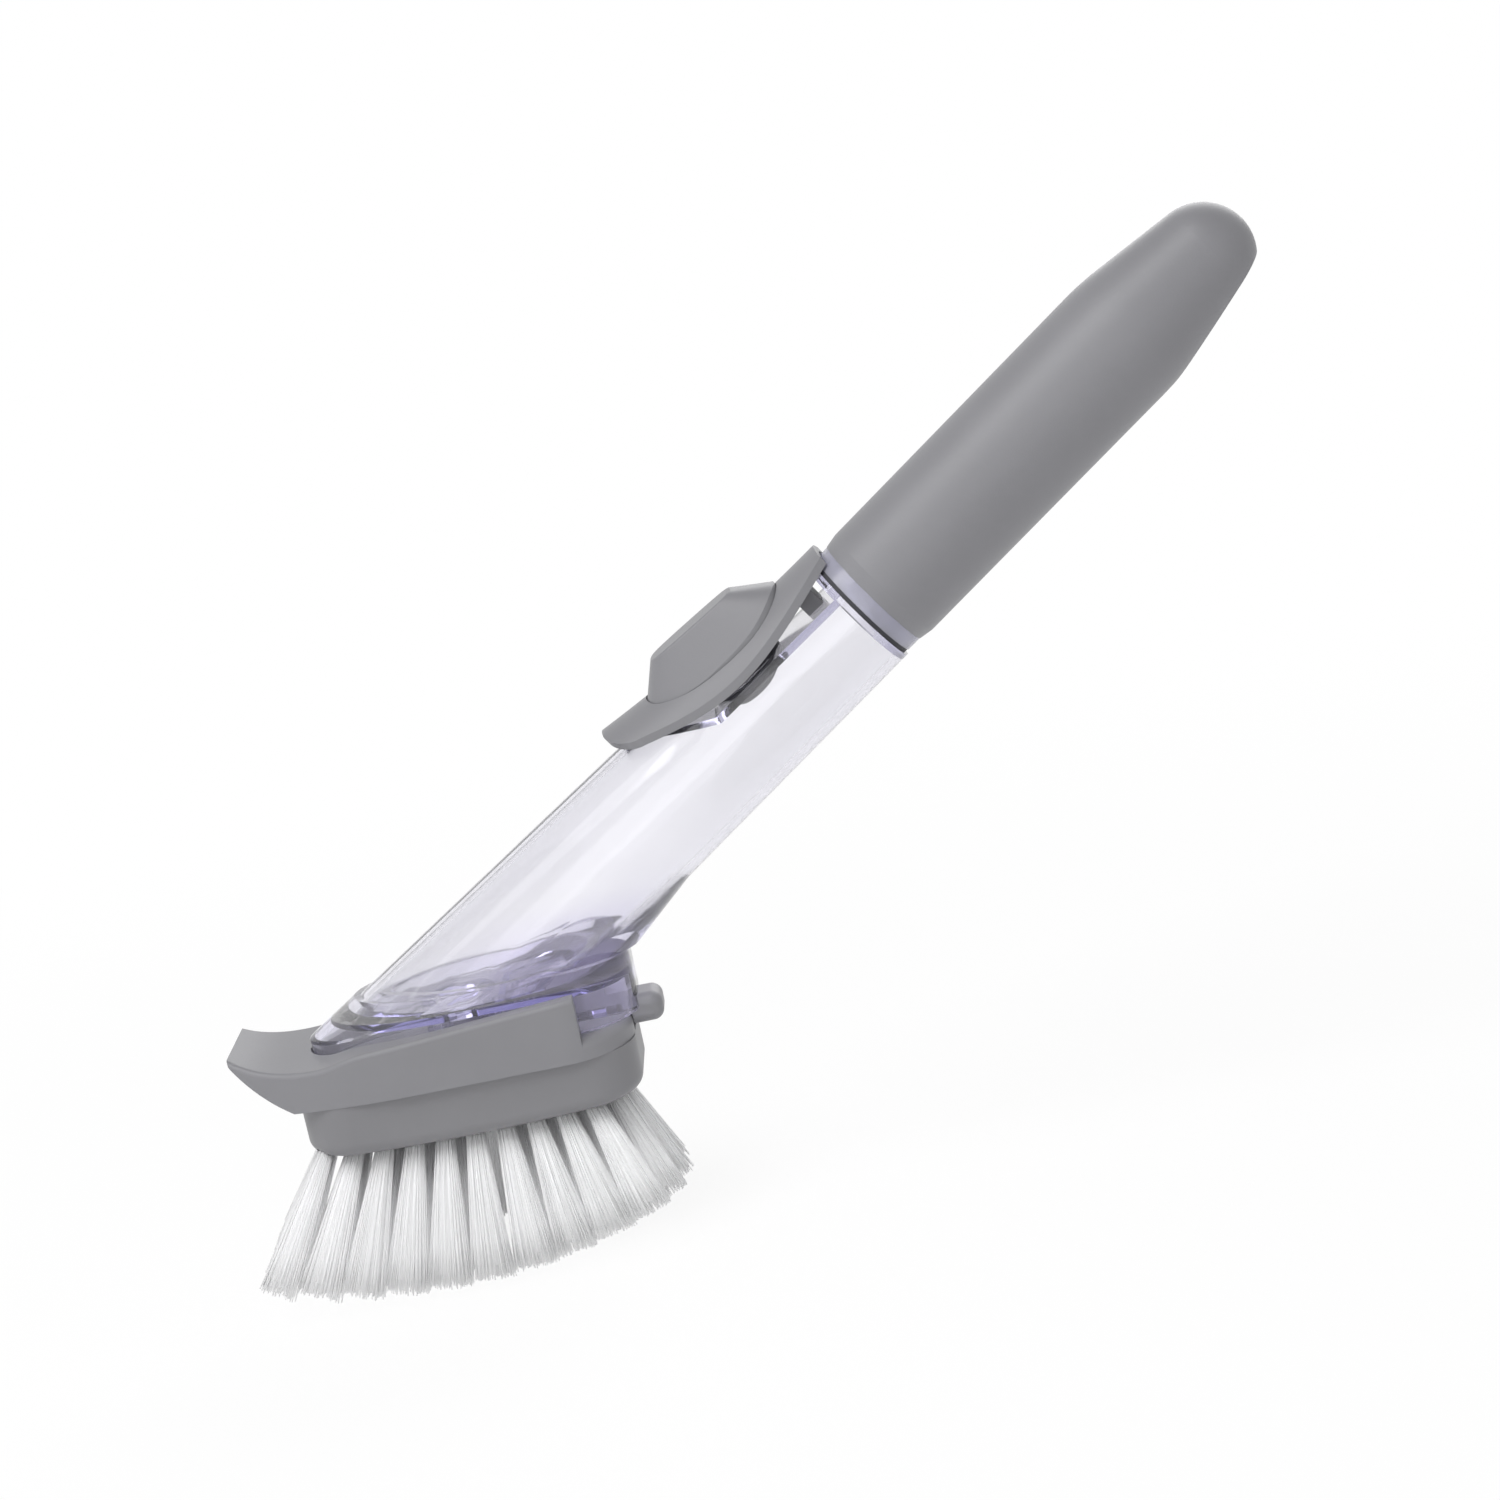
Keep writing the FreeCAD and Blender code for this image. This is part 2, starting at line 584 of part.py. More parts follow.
def release_spring():
    first = SPRING_FRONT + SPRING_WIRE / 2 + FIT
    last = BAR_FRONT - SPRING_WIRE / 2 - FIT
    pitch = (last - first) / SPRING_TURNS
    start = Vector(first, 0, (SLIDE_UNDER + FOOT_FLOOR_UNDER) / 2)
    edges = []
    for quarter in range(4 * SPRING_TURNS):
        a = quarter / 4
        b = (quarter + 1) / 4
        ends = (spring_point(a, pitch, start), spring_point(b, pitch, start))
        edges += biarc(ends[0], spring_way(a, pitch), ends[1], spring_way(b, pitch))
    path = Part.Wire(Part.__sortEdges__(edges))
    section = Part.Circle(spring_point(0, pitch, start), spring_way(0, pitch), SPRING_WIRE / 2)
    coil = path.makePipeShell([Part.Wire(section.toShape())], True, False)
    steps = [spring_point(i / 24, pitch, start) for i in range(24 * SPRING_TURNS + 1)]
    gaps = [(p - q).Length for i, p in enumerate(steps) for q in steps[i + 12:]]
    print("release_spring least gap to itself", round(min(gaps) - SPRING_WIRE, 3))
    return coil


def thread_ridge(root, crest, start):
    # trapezoid ridge wound round the handle's axis
    base = THREAD_BASE / 2
    top = THREAD_CREST / 2
    height = THREAD_PITCH * THREAD_TURNS
    helix = Part.makeHelix(THREAD_PITCH, height, min(root, crest))
    corners = [Vector(root, 0, -base), Vector(crest, 0, -top), Vector(crest, 0, top), Vector(root, 0, base)]
    section = Part.makePolygon(corners + corners[:1])
    ridge = Part.Wire(helix.Edges).makePipeShell([section], True, True)
    ridge.Placement = Placement(Vector(start, 0, 0), at_y(90))
    return ridge


def pump_box(s0, s1, half_width, t0, t1):
    return placed(block(s0, s1, half_width, t0, t1), tank_place())


def recess(lift):
    # room for the pump over a flat deck, with a ramp up to the tube's top in front
    reach = BIG / 4
    front = Vector(-DECK_LENGTH - reach, 0, DECK_HEIGHT + lift + reach * RAMP_SLOPE)
    deck_front = Vector(-DECK_LENGTH, 0, DECK_HEIGHT + lift)
    deck_rear = Vector(reach, 0, DECK_HEIGHT + lift)
    corners = [front, deck_front, deck_rear, Vector(reach, 0, front.z), front]
    return side_profile([line(a, b) for a, b in zip(corners, corners[1:])], BIG)


def recessed_cone(gap):
    return tank_cone(-gap, -2 * TANK_LENGTH, 0).cut(recess(gap))


def heel_flare():
    # a wedge that comes out of the tube's underside towards the foot and stays inside its other sides
    wires = []
    for run, drop in ((0, 0), (FLARE_LENGTH, FLARE_DROP)):
        x = FLARE_START - run
        half = tank_radius(x) - FIT
        middle = Vector(x, 0, -drop)
        oval = Part.Ellipse(Vector(x, 0, half), Vector(x, half, -drop), middle)
        wires.append(Part.Wire(oval.toShape()))
    spread = Part.makeLoft(wires, True, True)
    above = block(-BIG, BIG, BIG, SEAM_HEIGHT + LEDGE_RISE, BIG)
    return placed(spread, tank_place()).common(above)


def reservoir_tank():
    up = handle_place()
    above_seam = block(-BIG, BIG, BIG, SEAM_HEIGHT, BIG)
    under_flange = placed(block(-BIG, FLANGE_TOP, BIG, -BIG, BIG), up)
    ledge = foot_body(0, SEAM_HEIGHT, SEAM_HEIGHT + LEDGE_RISE)
    body = long_cone(0).common(under_flange).cut(placed(recess(0), tank_place()))
    body = body.fuse([ledge, heel_flare()]).common(above_seam)
    flange = rod(BAND_RADIUS, FLANGE_UNDER, FLANGE_TOP).cut(block(-BIG, BIG, BIG, FLANGE_FLAT, BIG))
    neck = rod(NECK_RADIUS, FLANGE_UNDER, NECK_HEIGHT)
    ridge = thread_ridge(NECK_RADIUS - RUN, THREAD_CREST_RADIUS, THREAD_START)
    top = placed(flange.fuse([neck, ridge]), up)
    hollow = long_cone(CLEAR_WALL).common(placed(block(-BIG, FLANGE_UNDER, BIG, -BIG, BIG), up))
    hollow = hollow.cut(placed(recess(-CLEAR_WALL), tank_place()))
    mouth = placed(rod(NECK_BORE, FLANGE_UNDER - FIT, BIG), up)
    mouth = mouth.cut(pump_box(-BIG, 0, BIG, DECK_UNDER, BIG))
    pump_hole = placed(oval(DIAPHRAGM_LENGTH, DIAPHRAGM_WIDTH, 0, DECK_HEIGHT + 1), tank_place())
    return body.fuse(top).cut([hollow, mouth, pump_hole]).removeSplitter()


def diaphragm_cup(inset):
    # oval cup with a bowed floor that hangs through the deck
    half = DIAPHRAGM_LENGTH / 2
    radius = (half * half + DIAPHRAGM_DEPTH * DIAPHRAGM_DEPTH) / (2 * DIAPHRAGM_DEPTH)
    centre = Vector(PUMP_CENTRE, -BIG / 2, DECK_UNDER - DIAPHRAGM_DEPTH + radius)
    bow = Part.makeCylinder(radius - inset, BIG, centre, Vector(0, 1, 0))
    length = DIAPHRAGM_LENGTH - 2 * (FIT + inset)
    width = DIAPHRAGM_WIDTH - 2 * (FIT + inset)
    return oval(length, width, -BIG / 4, DECK_HEIGHT + DIAPHRAGM_SKIN).common(bow)


def pump_diaphragm():
    lip_length = DIAPHRAGM_LENGTH + 2 * DIAPHRAGM_LIP
    lip_width = DIAPHRAGM_WIDTH + 2 * DIAPHRAGM_LIP
    lip = oval(lip_length, lip_width, DECK_HEIGHT, DECK_HEIGHT + DIAPHRAGM_SKIN)
    cup = diaphragm_cup(0).fuse(lip).cut(diaphragm_cup(DIAPHRAGM_SKIN))
    return placed(cup.removeSplitter(), tank_place())


def button_oval(half_length, half_width, power, height):
    # closed curve between an ellipse and a rounded box
    points = []
    for step in range(BUTTON_POINTS):
        turn = 2 * math.pi * step / BUTTON_POINTS
        x = math.copysign(abs(math.cos(turn)) ** (2 / power), math.cos(turn))
        y = math.copysign(abs(math.sin(turn)) ** (2 / power), math.sin(turn))
        points.append(Vector(BUTTON_CENTRE + half_length * x, half_width * y, height))
    curve = Part.BSplineCurve()
    curve.interpolate(points, PeriodicFlag=True)
    return Part.Wire(curve.toShape())


def button_frustum(grow, top, base):
    # sides that widen downwards, so the saddle keeps the button in, and a top that lies along the saddle
    wires = []
    for height, power in ((base, BUTTON_BASE_POWER), (top, BUTTON_TOP_POWER)):
        fall = BUTTON_TOP - height
        half = BUTTON_LENGTH / 2 + fall * BUTTON_END_SLOPE + grow
        width = BUTTON_WIDTH / 2 + fall * BUTTON_SIDE_SLOPE + grow
        wires.append(button_oval(half, width, power, height))
    wires[1].rotate(Vector(BUTTON_CENTRE, 0, top), Vector(0, 1, 0), SADDLE_TILT)
    return Part.makeLoft(wires, True, True)


def button_skirt(grow):
    half = BUTTON_SKIRT_LENGTH / 2 + grow
    width = BUTTON_SKIRT_WIDTH / 2 + grow
    return prism(button_oval(half, width, BUTTON_BASE_POWER, 0), 2 * BUTTON_TOP)


def pump_button():
    outer = button_frustum(0, BUTTON_TOP, BUTTON_BASE)
    edges = [e for e in outer.Edges if e.BoundBox.ZMin > (BUTTON_TOP + BUTTON_BASE) / 2]
    outer = outer.makeFillet(BUTTON_EDGE_ROUND, edges)
    hollow = button_frustum(-BUTTON_WALL, BUTTON_TOP - BUTTON_WALL, BUTTON_BASE)
    room = hollow.common(button_skirt(-BUTTON_WALL))
    tip = DECK_UNDER - DIAPHRAGM_DEPTH + DIAPHRAGM_SKIN + 2 * RUN
    plunger = post(PLUNGER_RADIUS, tip, BUTTON_TOP - BUTTON_WALL, PUMP_CENTRE)
    tube_below = recessed_cone(RUN)
    tube_below.translate(Vector(0, 0, PUMP_TRAVEL))
    button = outer.common(button_skirt(0)).cut([room, tube_below]).fuse(plunger)
    return placed(button.removeSplitter(), tank_place())


def saddle_tube(radius):
    # a ring so wide that its lowest stretch is a tube bent slightly upwards at both ends
    ring = Part.makeTorus(SADDLE_SWEEP, radius, Vector(0, 0, SADDLE_SWEEP), Vector(0, 1, 0))
    return placed(ring, Placement(Vector(PUMP_CENTRE, 0, SADDLE_RISE), at_y(SADDLE_TILT)))


def saddle_leaf(z0, z1):
    rear = Vector(SADDLE_REAR, SADDLE_REAR_HALF_WIDTH, z0)
    wide = Vector(SADDLE_WAIST, SADDLE_HALF_WIDTH, z0)
    front = Vector(SADDLE_FRONT + SADDLE_NOSE_LENGTH, SADDLE_NOSE_HALF_WIDTH, z0)
    nose = Vector(SADDLE_FRONT, SADDLE_NOSE_FLAT, z0)
    share = math.sin(math.pi / 4)
    shoulder = Vector(front.x - SADDLE_NOSE_LENGTH * share, nose.y + (front.y - nose.y) * share, z0)
    far = [rear, wide, front, shoulder, nose]
    near = [Vector(p.x, -p.y, z0) for p in far]
    edges = [line(rear, near[0]), line(nose, near[4])]
    for side in (far, near):
        edges += [Part.Arc(*side[:3]).toShape(), Part.Arc(*side[2:]).toShape()]
    return prism(Part.Wire(Part.__sortEdges__(edges)), z1 - z0)


def pump_frame():
    leaf = saddle_leaf(0, BIG)
    under = saddle_tube(SADDLE_RADIUS)
    under.translate(Vector(0, 0, -SADDLE_WALL))
    shell = saddle_tube(SADDLE_RADIUS).common(leaf).cut(under)
    shell = shell.cut(button_frustum(RUN, BUTTON_TOP + 1, 0).common(button_skirt(RUN)))
    solid = saddle_tube(SADDLE_RADIUS - FIT).common(leaf)
    feet = []
    for front in (SADDLE_FRONT + SADDLE_WALL, SADDLE_HEEL):
        foot = block(front, front + SADDLE_FOOT_LENGTH, SADDLE_FOOT_HALF_WIDTH, DECK_HEIGHT, BIG)
        feet.append(foot.common(solid))
    frame = placed(shell.fuse(feet), tank_place())
    up = handle_place()
    flange_seat = rod(BIG, FLANGE_UNDER - FIT, BIG).cut(block(-BIG, BIG, BIG, FLANGE_FLAT, BIG))
    flange_seat = placed(flange_seat, up)
    past_flange = placed(rod(BAND_RADIUS + RUN, FLANGE_TOP, BIG), up)
    tube = placed(recessed_cone(FIT), tank_place())
    return frame.cut([tube, flange_seat, past_flange]).removeSplitter()


def neck_gasket():
    ring = rod(BAND_RADIUS - GASKET_LIP, FLANGE_TOP, -BAND_HEIGHT)
    ring = ring.cut(rod(SLEEVE_BORE, FLANGE_TOP, -BAND_HEIGHT))
    return placed(ring, handle_place())


def handle_core():
    band = rod(BAND_RADIUS, -BAND_HEIGHT, 0)
    sleeve = rod(SLEEVE_RADIUS, -BAND_HEIGHT, SLEEVE_TOP)
    bore = rod(SLEEVE_BORE, -BAND_HEIGHT, SLEEVE_TOP - SLEEVE_CEILING)
    drop = (THREAD_BASE + THREAD_CREST) / 2 + RUN
    ridge = thread_ridge(SLEEVE_BORE + RUN, NECK_RADIUS + RUN, THREAD_START - drop)
    core = band.fuse(sleeve).cut(bore).fuse(ridge)
    return placed(core.removeSplitter(), handle_place())


def flat_place():
    # on the slanted flat under the grip's tip, z points out of it
    base = Vector(GRIP_LENGTH - GRIP_FLAT_TIP_BACK, 0, -GRIP_FLAT_TIP)
    return Placement(base, at_y(180 - GRIP_FLAT_SLOPE))


def grip_profile():
    taper = math.radians(GRIP_TAPER)
    tip_x = GRIP_LENGTH - GRIP_TIP_RADIUS
    dome = Vector(tip_x + GRIP_TIP_RADIUS * math.sin(taper), 0, GRIP_TIP_RADIUS * math.cos(taper))
    shoulder_x = dome.x - (GRIP_RADIUS - dome.z) / math.tan(taper)
    blend = GRIP_SHOULDER_ROUND * math.tan(taper / 2)
    straight_end = Vector(shoulder_x - blend, 0, GRIP_RADIUS)
    taper_start = Vector(shoulder_x + blend * math.cos(taper), 0, GRIP_RADIUS - blend * math.sin(taper))
    middle = straight_end + Vector(GRIP_SHOULDER_ROUND * math.sin(taper / 2), 0, 0)
    middle.z = GRIP_RADIUS - GRIP_SHOULDER_ROUND * (1 - math.cos(taper / 2))
    half_turn = math.pi / 4 + taper / 2
    dome_way = Vector(math.sin(half_turn), 0, math.cos(half_turn))
    dome_middle = dome_way * GRIP_TIP_RADIUS + Vector(tip_x, 0, 0)
    tip = Vector(GRIP_LENGTH, 0, 0)
    foot = Vector(0, 0, GRIP_RADIUS - GRIP_LOWER_CHAMFER)
    barrel = Vector(GRIP_CHAMFER_LENGTH, 0, GRIP_RADIUS)
    return [
        line(Vector(0, 0, 0), foot),
        line(foot, barrel),
        line(barrel, straight_end),
        Part.Arc(straight_end, middle, taper_start).toShape(),
        line(taper_start, dome),
        Part.Arc(dome, dome_middle, tip).toShape(),
        line(tip, Vector(0, 0, 0)),
    ]


def handle_grip():
    face = Part.Face(Part.Wire(Part.__sortEdges__(grip_profile())))
    grip = face.revolve(Vector(0, 0, 0), Vector(1, 0, 0), 360)
    grip = grip.cut(placed(block(-BIG, BIG, BIG, 0, BIG), flat_place()))
    socket = rod(SLEEVE_RADIUS + FIT, 0, SLEEVE_TOP + FIT)
    hollow_end = SLEEVE_TOP + FIT + GRIP_HOLLOW_LENGTH
    hollow = rod(GRIP_RADIUS - GRIP_HOLLOW_WALL, 0, hollow_end)
    rim = [e for e in hollow.Edges if e.BoundBox.XMin > hollow_end - 1]
    hollow = hollow.makeFillet(GRIP_RADIUS - 2 * GRIP_HOLLOW_WALL, rim)
    peg = placed(post(HANG_HOLE_RADIUS, -HANG_HOLE_DEPTH, BIG, HANG_HOLE_BACK), flat_place())
    return placed(grip.cut([socket, hollow, peg]), handle_place())


MAKERS = [
    brush_shoe,
    bristle_plate,
    bristle_tufts,
    tuft_anchors,
    catch_hook,
    tank_base,
    outlet_valve,
    valve_retainer,
    release_button,
    release_spring,
    reservoir_tank,
    pump_frame,
    pump_button,
    pump_diaphragm,
    neck_gasket,
    handle_core,
    handle_grip,
]


def rest_shift(shapes):
    # the origin is under the middle of the whole wand, on the surface that the tips touch
    boxes = [shape.optimalBoundingBox(False, False) for shape in shapes.values()]
    x = (min(b.XMin for b in boxes) + max(b.XMax for b in boxes)) / 2
    return Vector(-x, 0, -min(b.ZMin for b in boxes))


def main():
    os.makedirs("parts", exist_ok=True)
    shapes = {maker.__name__: maker() for maker in MAKERS}
    shift = rest_shift(shapes)
    for name, shape in shapes.items():
        shape.translate(shift)
        shape.exportStep("parts/" + name + ".step")
    return shapes, shift


PIECES, SHIFT = main()
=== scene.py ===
import json
import math
import random

import bmesh
import bpy
from bpy.props import FloatProperty, FloatVectorProperty, IntProperty, PointerProperty
from bpy.types import Operator, Panel, PropertyGroup
from mathutils import Matrix, Vector


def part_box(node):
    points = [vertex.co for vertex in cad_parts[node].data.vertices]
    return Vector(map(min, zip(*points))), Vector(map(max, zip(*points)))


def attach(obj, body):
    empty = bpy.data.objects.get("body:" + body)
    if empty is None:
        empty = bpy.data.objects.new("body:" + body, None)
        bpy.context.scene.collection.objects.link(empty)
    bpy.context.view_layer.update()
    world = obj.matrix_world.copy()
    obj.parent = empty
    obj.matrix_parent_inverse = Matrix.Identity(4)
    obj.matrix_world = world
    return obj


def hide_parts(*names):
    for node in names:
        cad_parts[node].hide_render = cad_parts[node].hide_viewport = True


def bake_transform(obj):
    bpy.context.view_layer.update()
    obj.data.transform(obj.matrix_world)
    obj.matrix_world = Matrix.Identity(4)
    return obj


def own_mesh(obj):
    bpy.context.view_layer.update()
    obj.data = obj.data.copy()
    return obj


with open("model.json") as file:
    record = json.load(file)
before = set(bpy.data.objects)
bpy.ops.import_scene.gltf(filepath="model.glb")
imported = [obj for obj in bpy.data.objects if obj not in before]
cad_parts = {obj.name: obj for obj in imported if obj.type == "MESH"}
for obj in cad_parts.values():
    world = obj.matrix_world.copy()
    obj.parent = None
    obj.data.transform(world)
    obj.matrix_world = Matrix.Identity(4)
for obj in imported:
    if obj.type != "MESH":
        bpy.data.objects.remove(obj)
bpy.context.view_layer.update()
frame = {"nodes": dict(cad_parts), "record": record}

bl_info = {
    "name": "Dish wand",
    "version": (1, 0, 0),
    "blender": (4, 5, 0),
    "location": "View3D > Sidebar > Dish wand",
    "description": "Dresses the dish wand: moulded plastics, seals, wire, bristles and a plain studio",
    "category": "Object",
}

GREY_NODES = ("brush_shoe", "catch_hook", "release_button", "pump_frame", "pump_button", "handle_grip")
PLATE_NODES = ("bristle_plate",)
TUBE_NODES = ("reservoir_tank",)
FOOT_NODES = ("tank_base", "valve_retainer")
COLLAR_NODES = ("handle_core",)
RUBBER_NODES = ("neck_gasket",)
SILICONE_NODES = ("outlet_valve",)
STEEL_NODES = ("tuft_anchors",)

WHITE = (1, 1, 1, 1)
SMOOTH_STEP = {"interpolation_type": "SMOOTHSTEP"}

# Sizes of the noise in the finishes, in cells to a metre.
GREY_CLOUDS = 42.0
CLEAR_RIPPLE = 16.0
CLEAR_HAZE = 160.0
RUBBER_BLOOM = 260.0
RUBBER_GRAIN = 5200.0
STEEL_SCRATCHES = 9000.0
STEEL_TARNISH = 480.0

# The darkest and the lightest share of a colour that the noise gives.
GREY_TONES = (0.93, 1.07)
CLEAR_TONES = (0.985, 1.0)
STEEL_TONES = (0.82, 1.08)

# How far the noise moves the roughness.
GREY_GRAIN_GLOSS = 0.10
GREY_CLOUD_GLOSS = 0.08
RUBBER_GLOSS = 0.16
STEEL_GLOSS = 0.16
NYLON_GLOSS = 0.12

STEEL_ROUGHNESS = 0.20
NYLON_ROUGHNESS = 0.42
NYLON_LEAST_TONE = 0.35
# Painted shade: the nylon's share of its tone at the root, darker towards the plate where the tufts shade each
# other.
NYLON_ROOT_SHADE = 0.45
LEAST_HAZE = 0.5

# Where the clear plastic takes the heel's tone, in metres: heights from the foot's top, then places from the foot's
# front and rear.
HEEL_FULL_BELOW = -0.002
HEEL_NONE_ABOVE = 0.009
HEEL_BEHIND_FRONT = 0.018
HEEL_BEFORE_REAR = 0.012

# Pieces that take a CAD node's shape.
MERGE_DISTANCE = 0.000002
SMOOTH_ANGLE = math.radians(30)

# One filament of unit length: where it is cut, and how far it shifts above each height, in radii.
FILAMENT_SIDES = 3
FILAMENT_CUTS = (0.4, 0.75)
FILAMENT_SHIFTS = ((0.3, 0.3), (0.6, 0.5), (0.9, 0.7))

# The core of a tuft of unit length, its radii and inset as shares of the tuft's own. A face whose normal rises above
# FACES_UP is its end.
CORE_SIDES = 18
CORE_LENGTH = 0.9
CORE_ROOT = 0.82
CORE_TIP = 0.78
CORE_INSET = 0.3
CORE_DOME = 0.02
CORE_TONE = 0.6
FACES_UP = 0.9

# A tuft: the core's share of its section, and how much its filaments differ.
TUFT_KINDS = 4
CORE_SHARE = 0.30
GOLDEN_ANGLE = math.pi * (3 - math.sqrt(5))
ANGLE_STRAY = 0.25
TIP_STRAY = 0.0002
OUTER_CALM = 0.6
SHORTEST = 0.945

# Tufts on the plate, in metres.
TIP_TRIM = 0.0004
ROOT_DEPTH = 0.0008

# Studio: places and sizes in metres.
LAMPS = (
    ("key_lamp", "key", (-0.35, -0.42, 0.95), 0.7),
    ("fill_lamp", "fill", (-0.25, -0.95, 0.30), 0.8),
    ("back_lamp", "back", (0.35, 0.95, 0.60), 0.9),
)
LAMP_TARGET = (0, 0, 0.08)
CARD_PLACE = (-0.55, -0.45, 0.75)
CARD_TARGET = (0, 0, 0.1)
CARD_SIZE = (0.22, 0.66)
FLOOR_NEAR = 0.12
FLOOR_FAR = 0.55
FLOOR_NEAR_WHITE = 0.86
CEILING_LOW = 0.3
CEILING_HIGH = 0.95
SENSOR_MILLIMETRES = 36.0
CLIP_START = 0.01


def colour_property(name, description, default):
    return FloatVectorProperty(
        name=name, description=description, default=default, subtype="COLOR", size=3, min=0, max=1)


def length_property(name, description, default):
    return FloatProperty(name=name, description=description, default=default, unit="LENGTH", precision=5)


def angle_property(name, description, degrees):
    return FloatProperty(name=name, description=description, default=math.radians(degrees), subtype="ANGLE")


def power_property(name, description, default):
    return FloatProperty(name=name, description=description, default=default, min=0, subtype="POWER")


class WandFinishes(PropertyGroup):
    grey: colour_property("Grey", "Satin grey of the mouldings", (0.230, 0.229, 0.244))
    # Painted shade: a darker copy of the satin grey for the plate under the shoe.
    plate_grey: colour_property("Plate grey", "Grey of the plate under the shoe", (0.212, 0.211, 0.223))
    grey_roughness: FloatProperty(
        name="Grey roughness", description="Mean roughness of the satin grey", default=0.44, min=0, max=1)
    grain_scale: FloatProperty(name="Grain", description="Moulded grain cells in a metre", default=2400.0, min=1)
    clear: colour_property("Clear", "Tone of the clear mouldings' surface", (0.974, 0.972, 0.980))
    thick: colour_property("Thick", "Tone of the clear heel", (0.87, 0.85, 0.945))
    hazy: colour_property("Hazy", "Lavender grey of the handle's collar", (0.60, 0.60, 0.69))
    tint: colour_property("Tint", "Lavender that thick clear plastic takes", (0.69, 0.675, 0.845))
    tube_tint: colour_property("Tube tint", "Fainter lavender of the tube's thin wall", (0.67, 0.66, 0.79))
    tube_depth: FloatProperty(
        name="Tube depth", description="Absorption in a metre of the tube", default=88.0, min=0)
    foot_depth: FloatProperty(
        name="Foot depth", description="Absorption in a metre of the foot and collar", default=150.0, min=0)
    rubber: colour_property("Rubber", "Near-black of the seals", (0.045, 0.045, 0.052))
    silicone: colour_property("Silicone", "Pale valve silicone", (0.70, 0.70, 0.72))
    steel: colour_property("Steel", "Drawn wire", (0.60, 0.60, 0.61))


class WandMembrane(PropertyGroup):
    lip: length_property("Lip", "Thickness of the membrane's lip, which stays on the deck", 0.0012)
    pressed: length_property("Pressed depth", "From here down the membrane goes with the plunger", 0.0037)


class WandBristles(PropertyGroup):
    rows: IntProperty(name="Rows", description="Rows of tufts across the plate", default=5, min=2)
    columns: IntProperty(name="Columns", description="Tufts in a row", default=10, min=2)
    filaments: IntProperty(name="Filaments", description="Filaments in a tuft", default=185, min=10)
    filament_radius: length_property("Filament radius", "Radius of a nylon filament", 0.00015)
    root_radius: length_property("Root radius", "Tuft radius where it leaves the plate", 0.0018)
    tip_across: length_property("Tip across", "Half a tuft's cut end, across the head", 0.0040)
    tip_along: length_property("Tip along", "Half a tuft's cut end, along the head", 0.0047)
    length: length_property("Length", "Longest tuft below the plate", 0.033)
    rear_drop: length_property("Rear drop", "How much shorter the rear tufts are", 0.0068)
    front_drop: length_property("Front drop", "How much shorter the front tufts are", 0.0016)
    front_margin: length_property("Front margin", "First tuft behind the plate's front", 0.0034)
    rear_margin: length_property("Rear margin", "Last tuft before the plate's rear", 0.0070)
    corner_margin: length_property("Corner margin", "Extra margin of the outer rows at the rear", 0.0042)
    side_margin: length_property("Side margin", "Outer rows inside the plate's side", 0.0055)
    plate_depth: length_property("Plate depth", "Plate's lower face under its top", 0.012)
    plate_crown: length_property("Plate crown", "Rise of the lower face at both ends", 0.0012)
    hole_clear: length_property("Hole clearance", "Tufts keep this far from the soap hole", 0.0075)
    front_lean: angle_property("Front lean", "Lean of the first tufts", -31)
    rear_lean: angle_property("Rear lean", "Lean of the last tufts", 18)
    splay: angle_property("Splay", "Sideways lean of the outer rows", 14)
    seed: IntProperty(name="Seed", description="Seed of the filaments' small differences", default=11)
    bright: colour_property("Bright nylon", "Bright filaments", (0.99, 0.99, 0.995))
    # The dull colour serves the duller filaments and also the painted shade towards the roots.
    dull_and_shaded: colour_property("Dull nylon", "Duller filaments and roots", (0.94, 0.94, 0.955))


class WandStage(PropertyGroup):
    floor: colour_property("Floor", "Plain pale floor", (0.93, 0.93, 0.93))
    floor_size: length_property("Floor size", "Half the floor's side", 6.0)
    ambient: FloatProperty(name="Ambient", description="Strength of the even studio light", default=0.48, min=0)
    top_shade: FloatProperty(
        name="Top shade", description="How much darker gloss and clear plastic see the ceiling",
        default=0.66, min=0, max=1)
    key: power_property("Key", "Power of the large soft lamp", 5.8)
    fill: power_property("Fill", "Power of the second lamp", 1.4)
    back: power_property("Back", "Power of the lamp behind the wand", 4.2)
    card: FloatProperty(name="Card", description="Brightness of the card that only gloss shows", default=2.0, min=0)
    lens: FloatProperty(name="Lens", description="Focal length in millimetres", default=72.538, min=1)
    camera_place: FloatVectorProperty(
        name="Camera place", description="Where the camera stands", default=(0.01977, -0.61398, 0.23073),
        subtype="TRANSLATION", unit="LENGTH", size=3)
    camera_turn: FloatVectorProperty(
        name="Camera turn", description="The camera's turn about X, Y and Z",
        default=(math.radians(77.4948), math.radians(11.5318), math.radians(-0.8509)), subtype="EULER", size=3)


class Value:
    """A shader socket. Arithmetic with it adds Math nodes."""

    def __init__(self, graph, socket):
        self.graph = graph
        self.socket = socket

    def _math(self, operation, first, second):
        return self.graph.node("ShaderNodeMath", {"operation": operation}, {0: first, 1: second})

    def __add__(self, other):
        return self._math("ADD", self, other)

    def __radd__(self, other):
        return self._math("ADD", other, self)

    def __sub__(self, other):
        return self._math("SUBTRACT", self, other)

    def __rsub__(self, other):
        return self._math("SUBTRACT", other, self)

    def __mul__(self, other):
        return self._math("MULTIPLY", self, other)

    def __rmul__(self, other):
        return self._math("MULTIPLY", other, self)


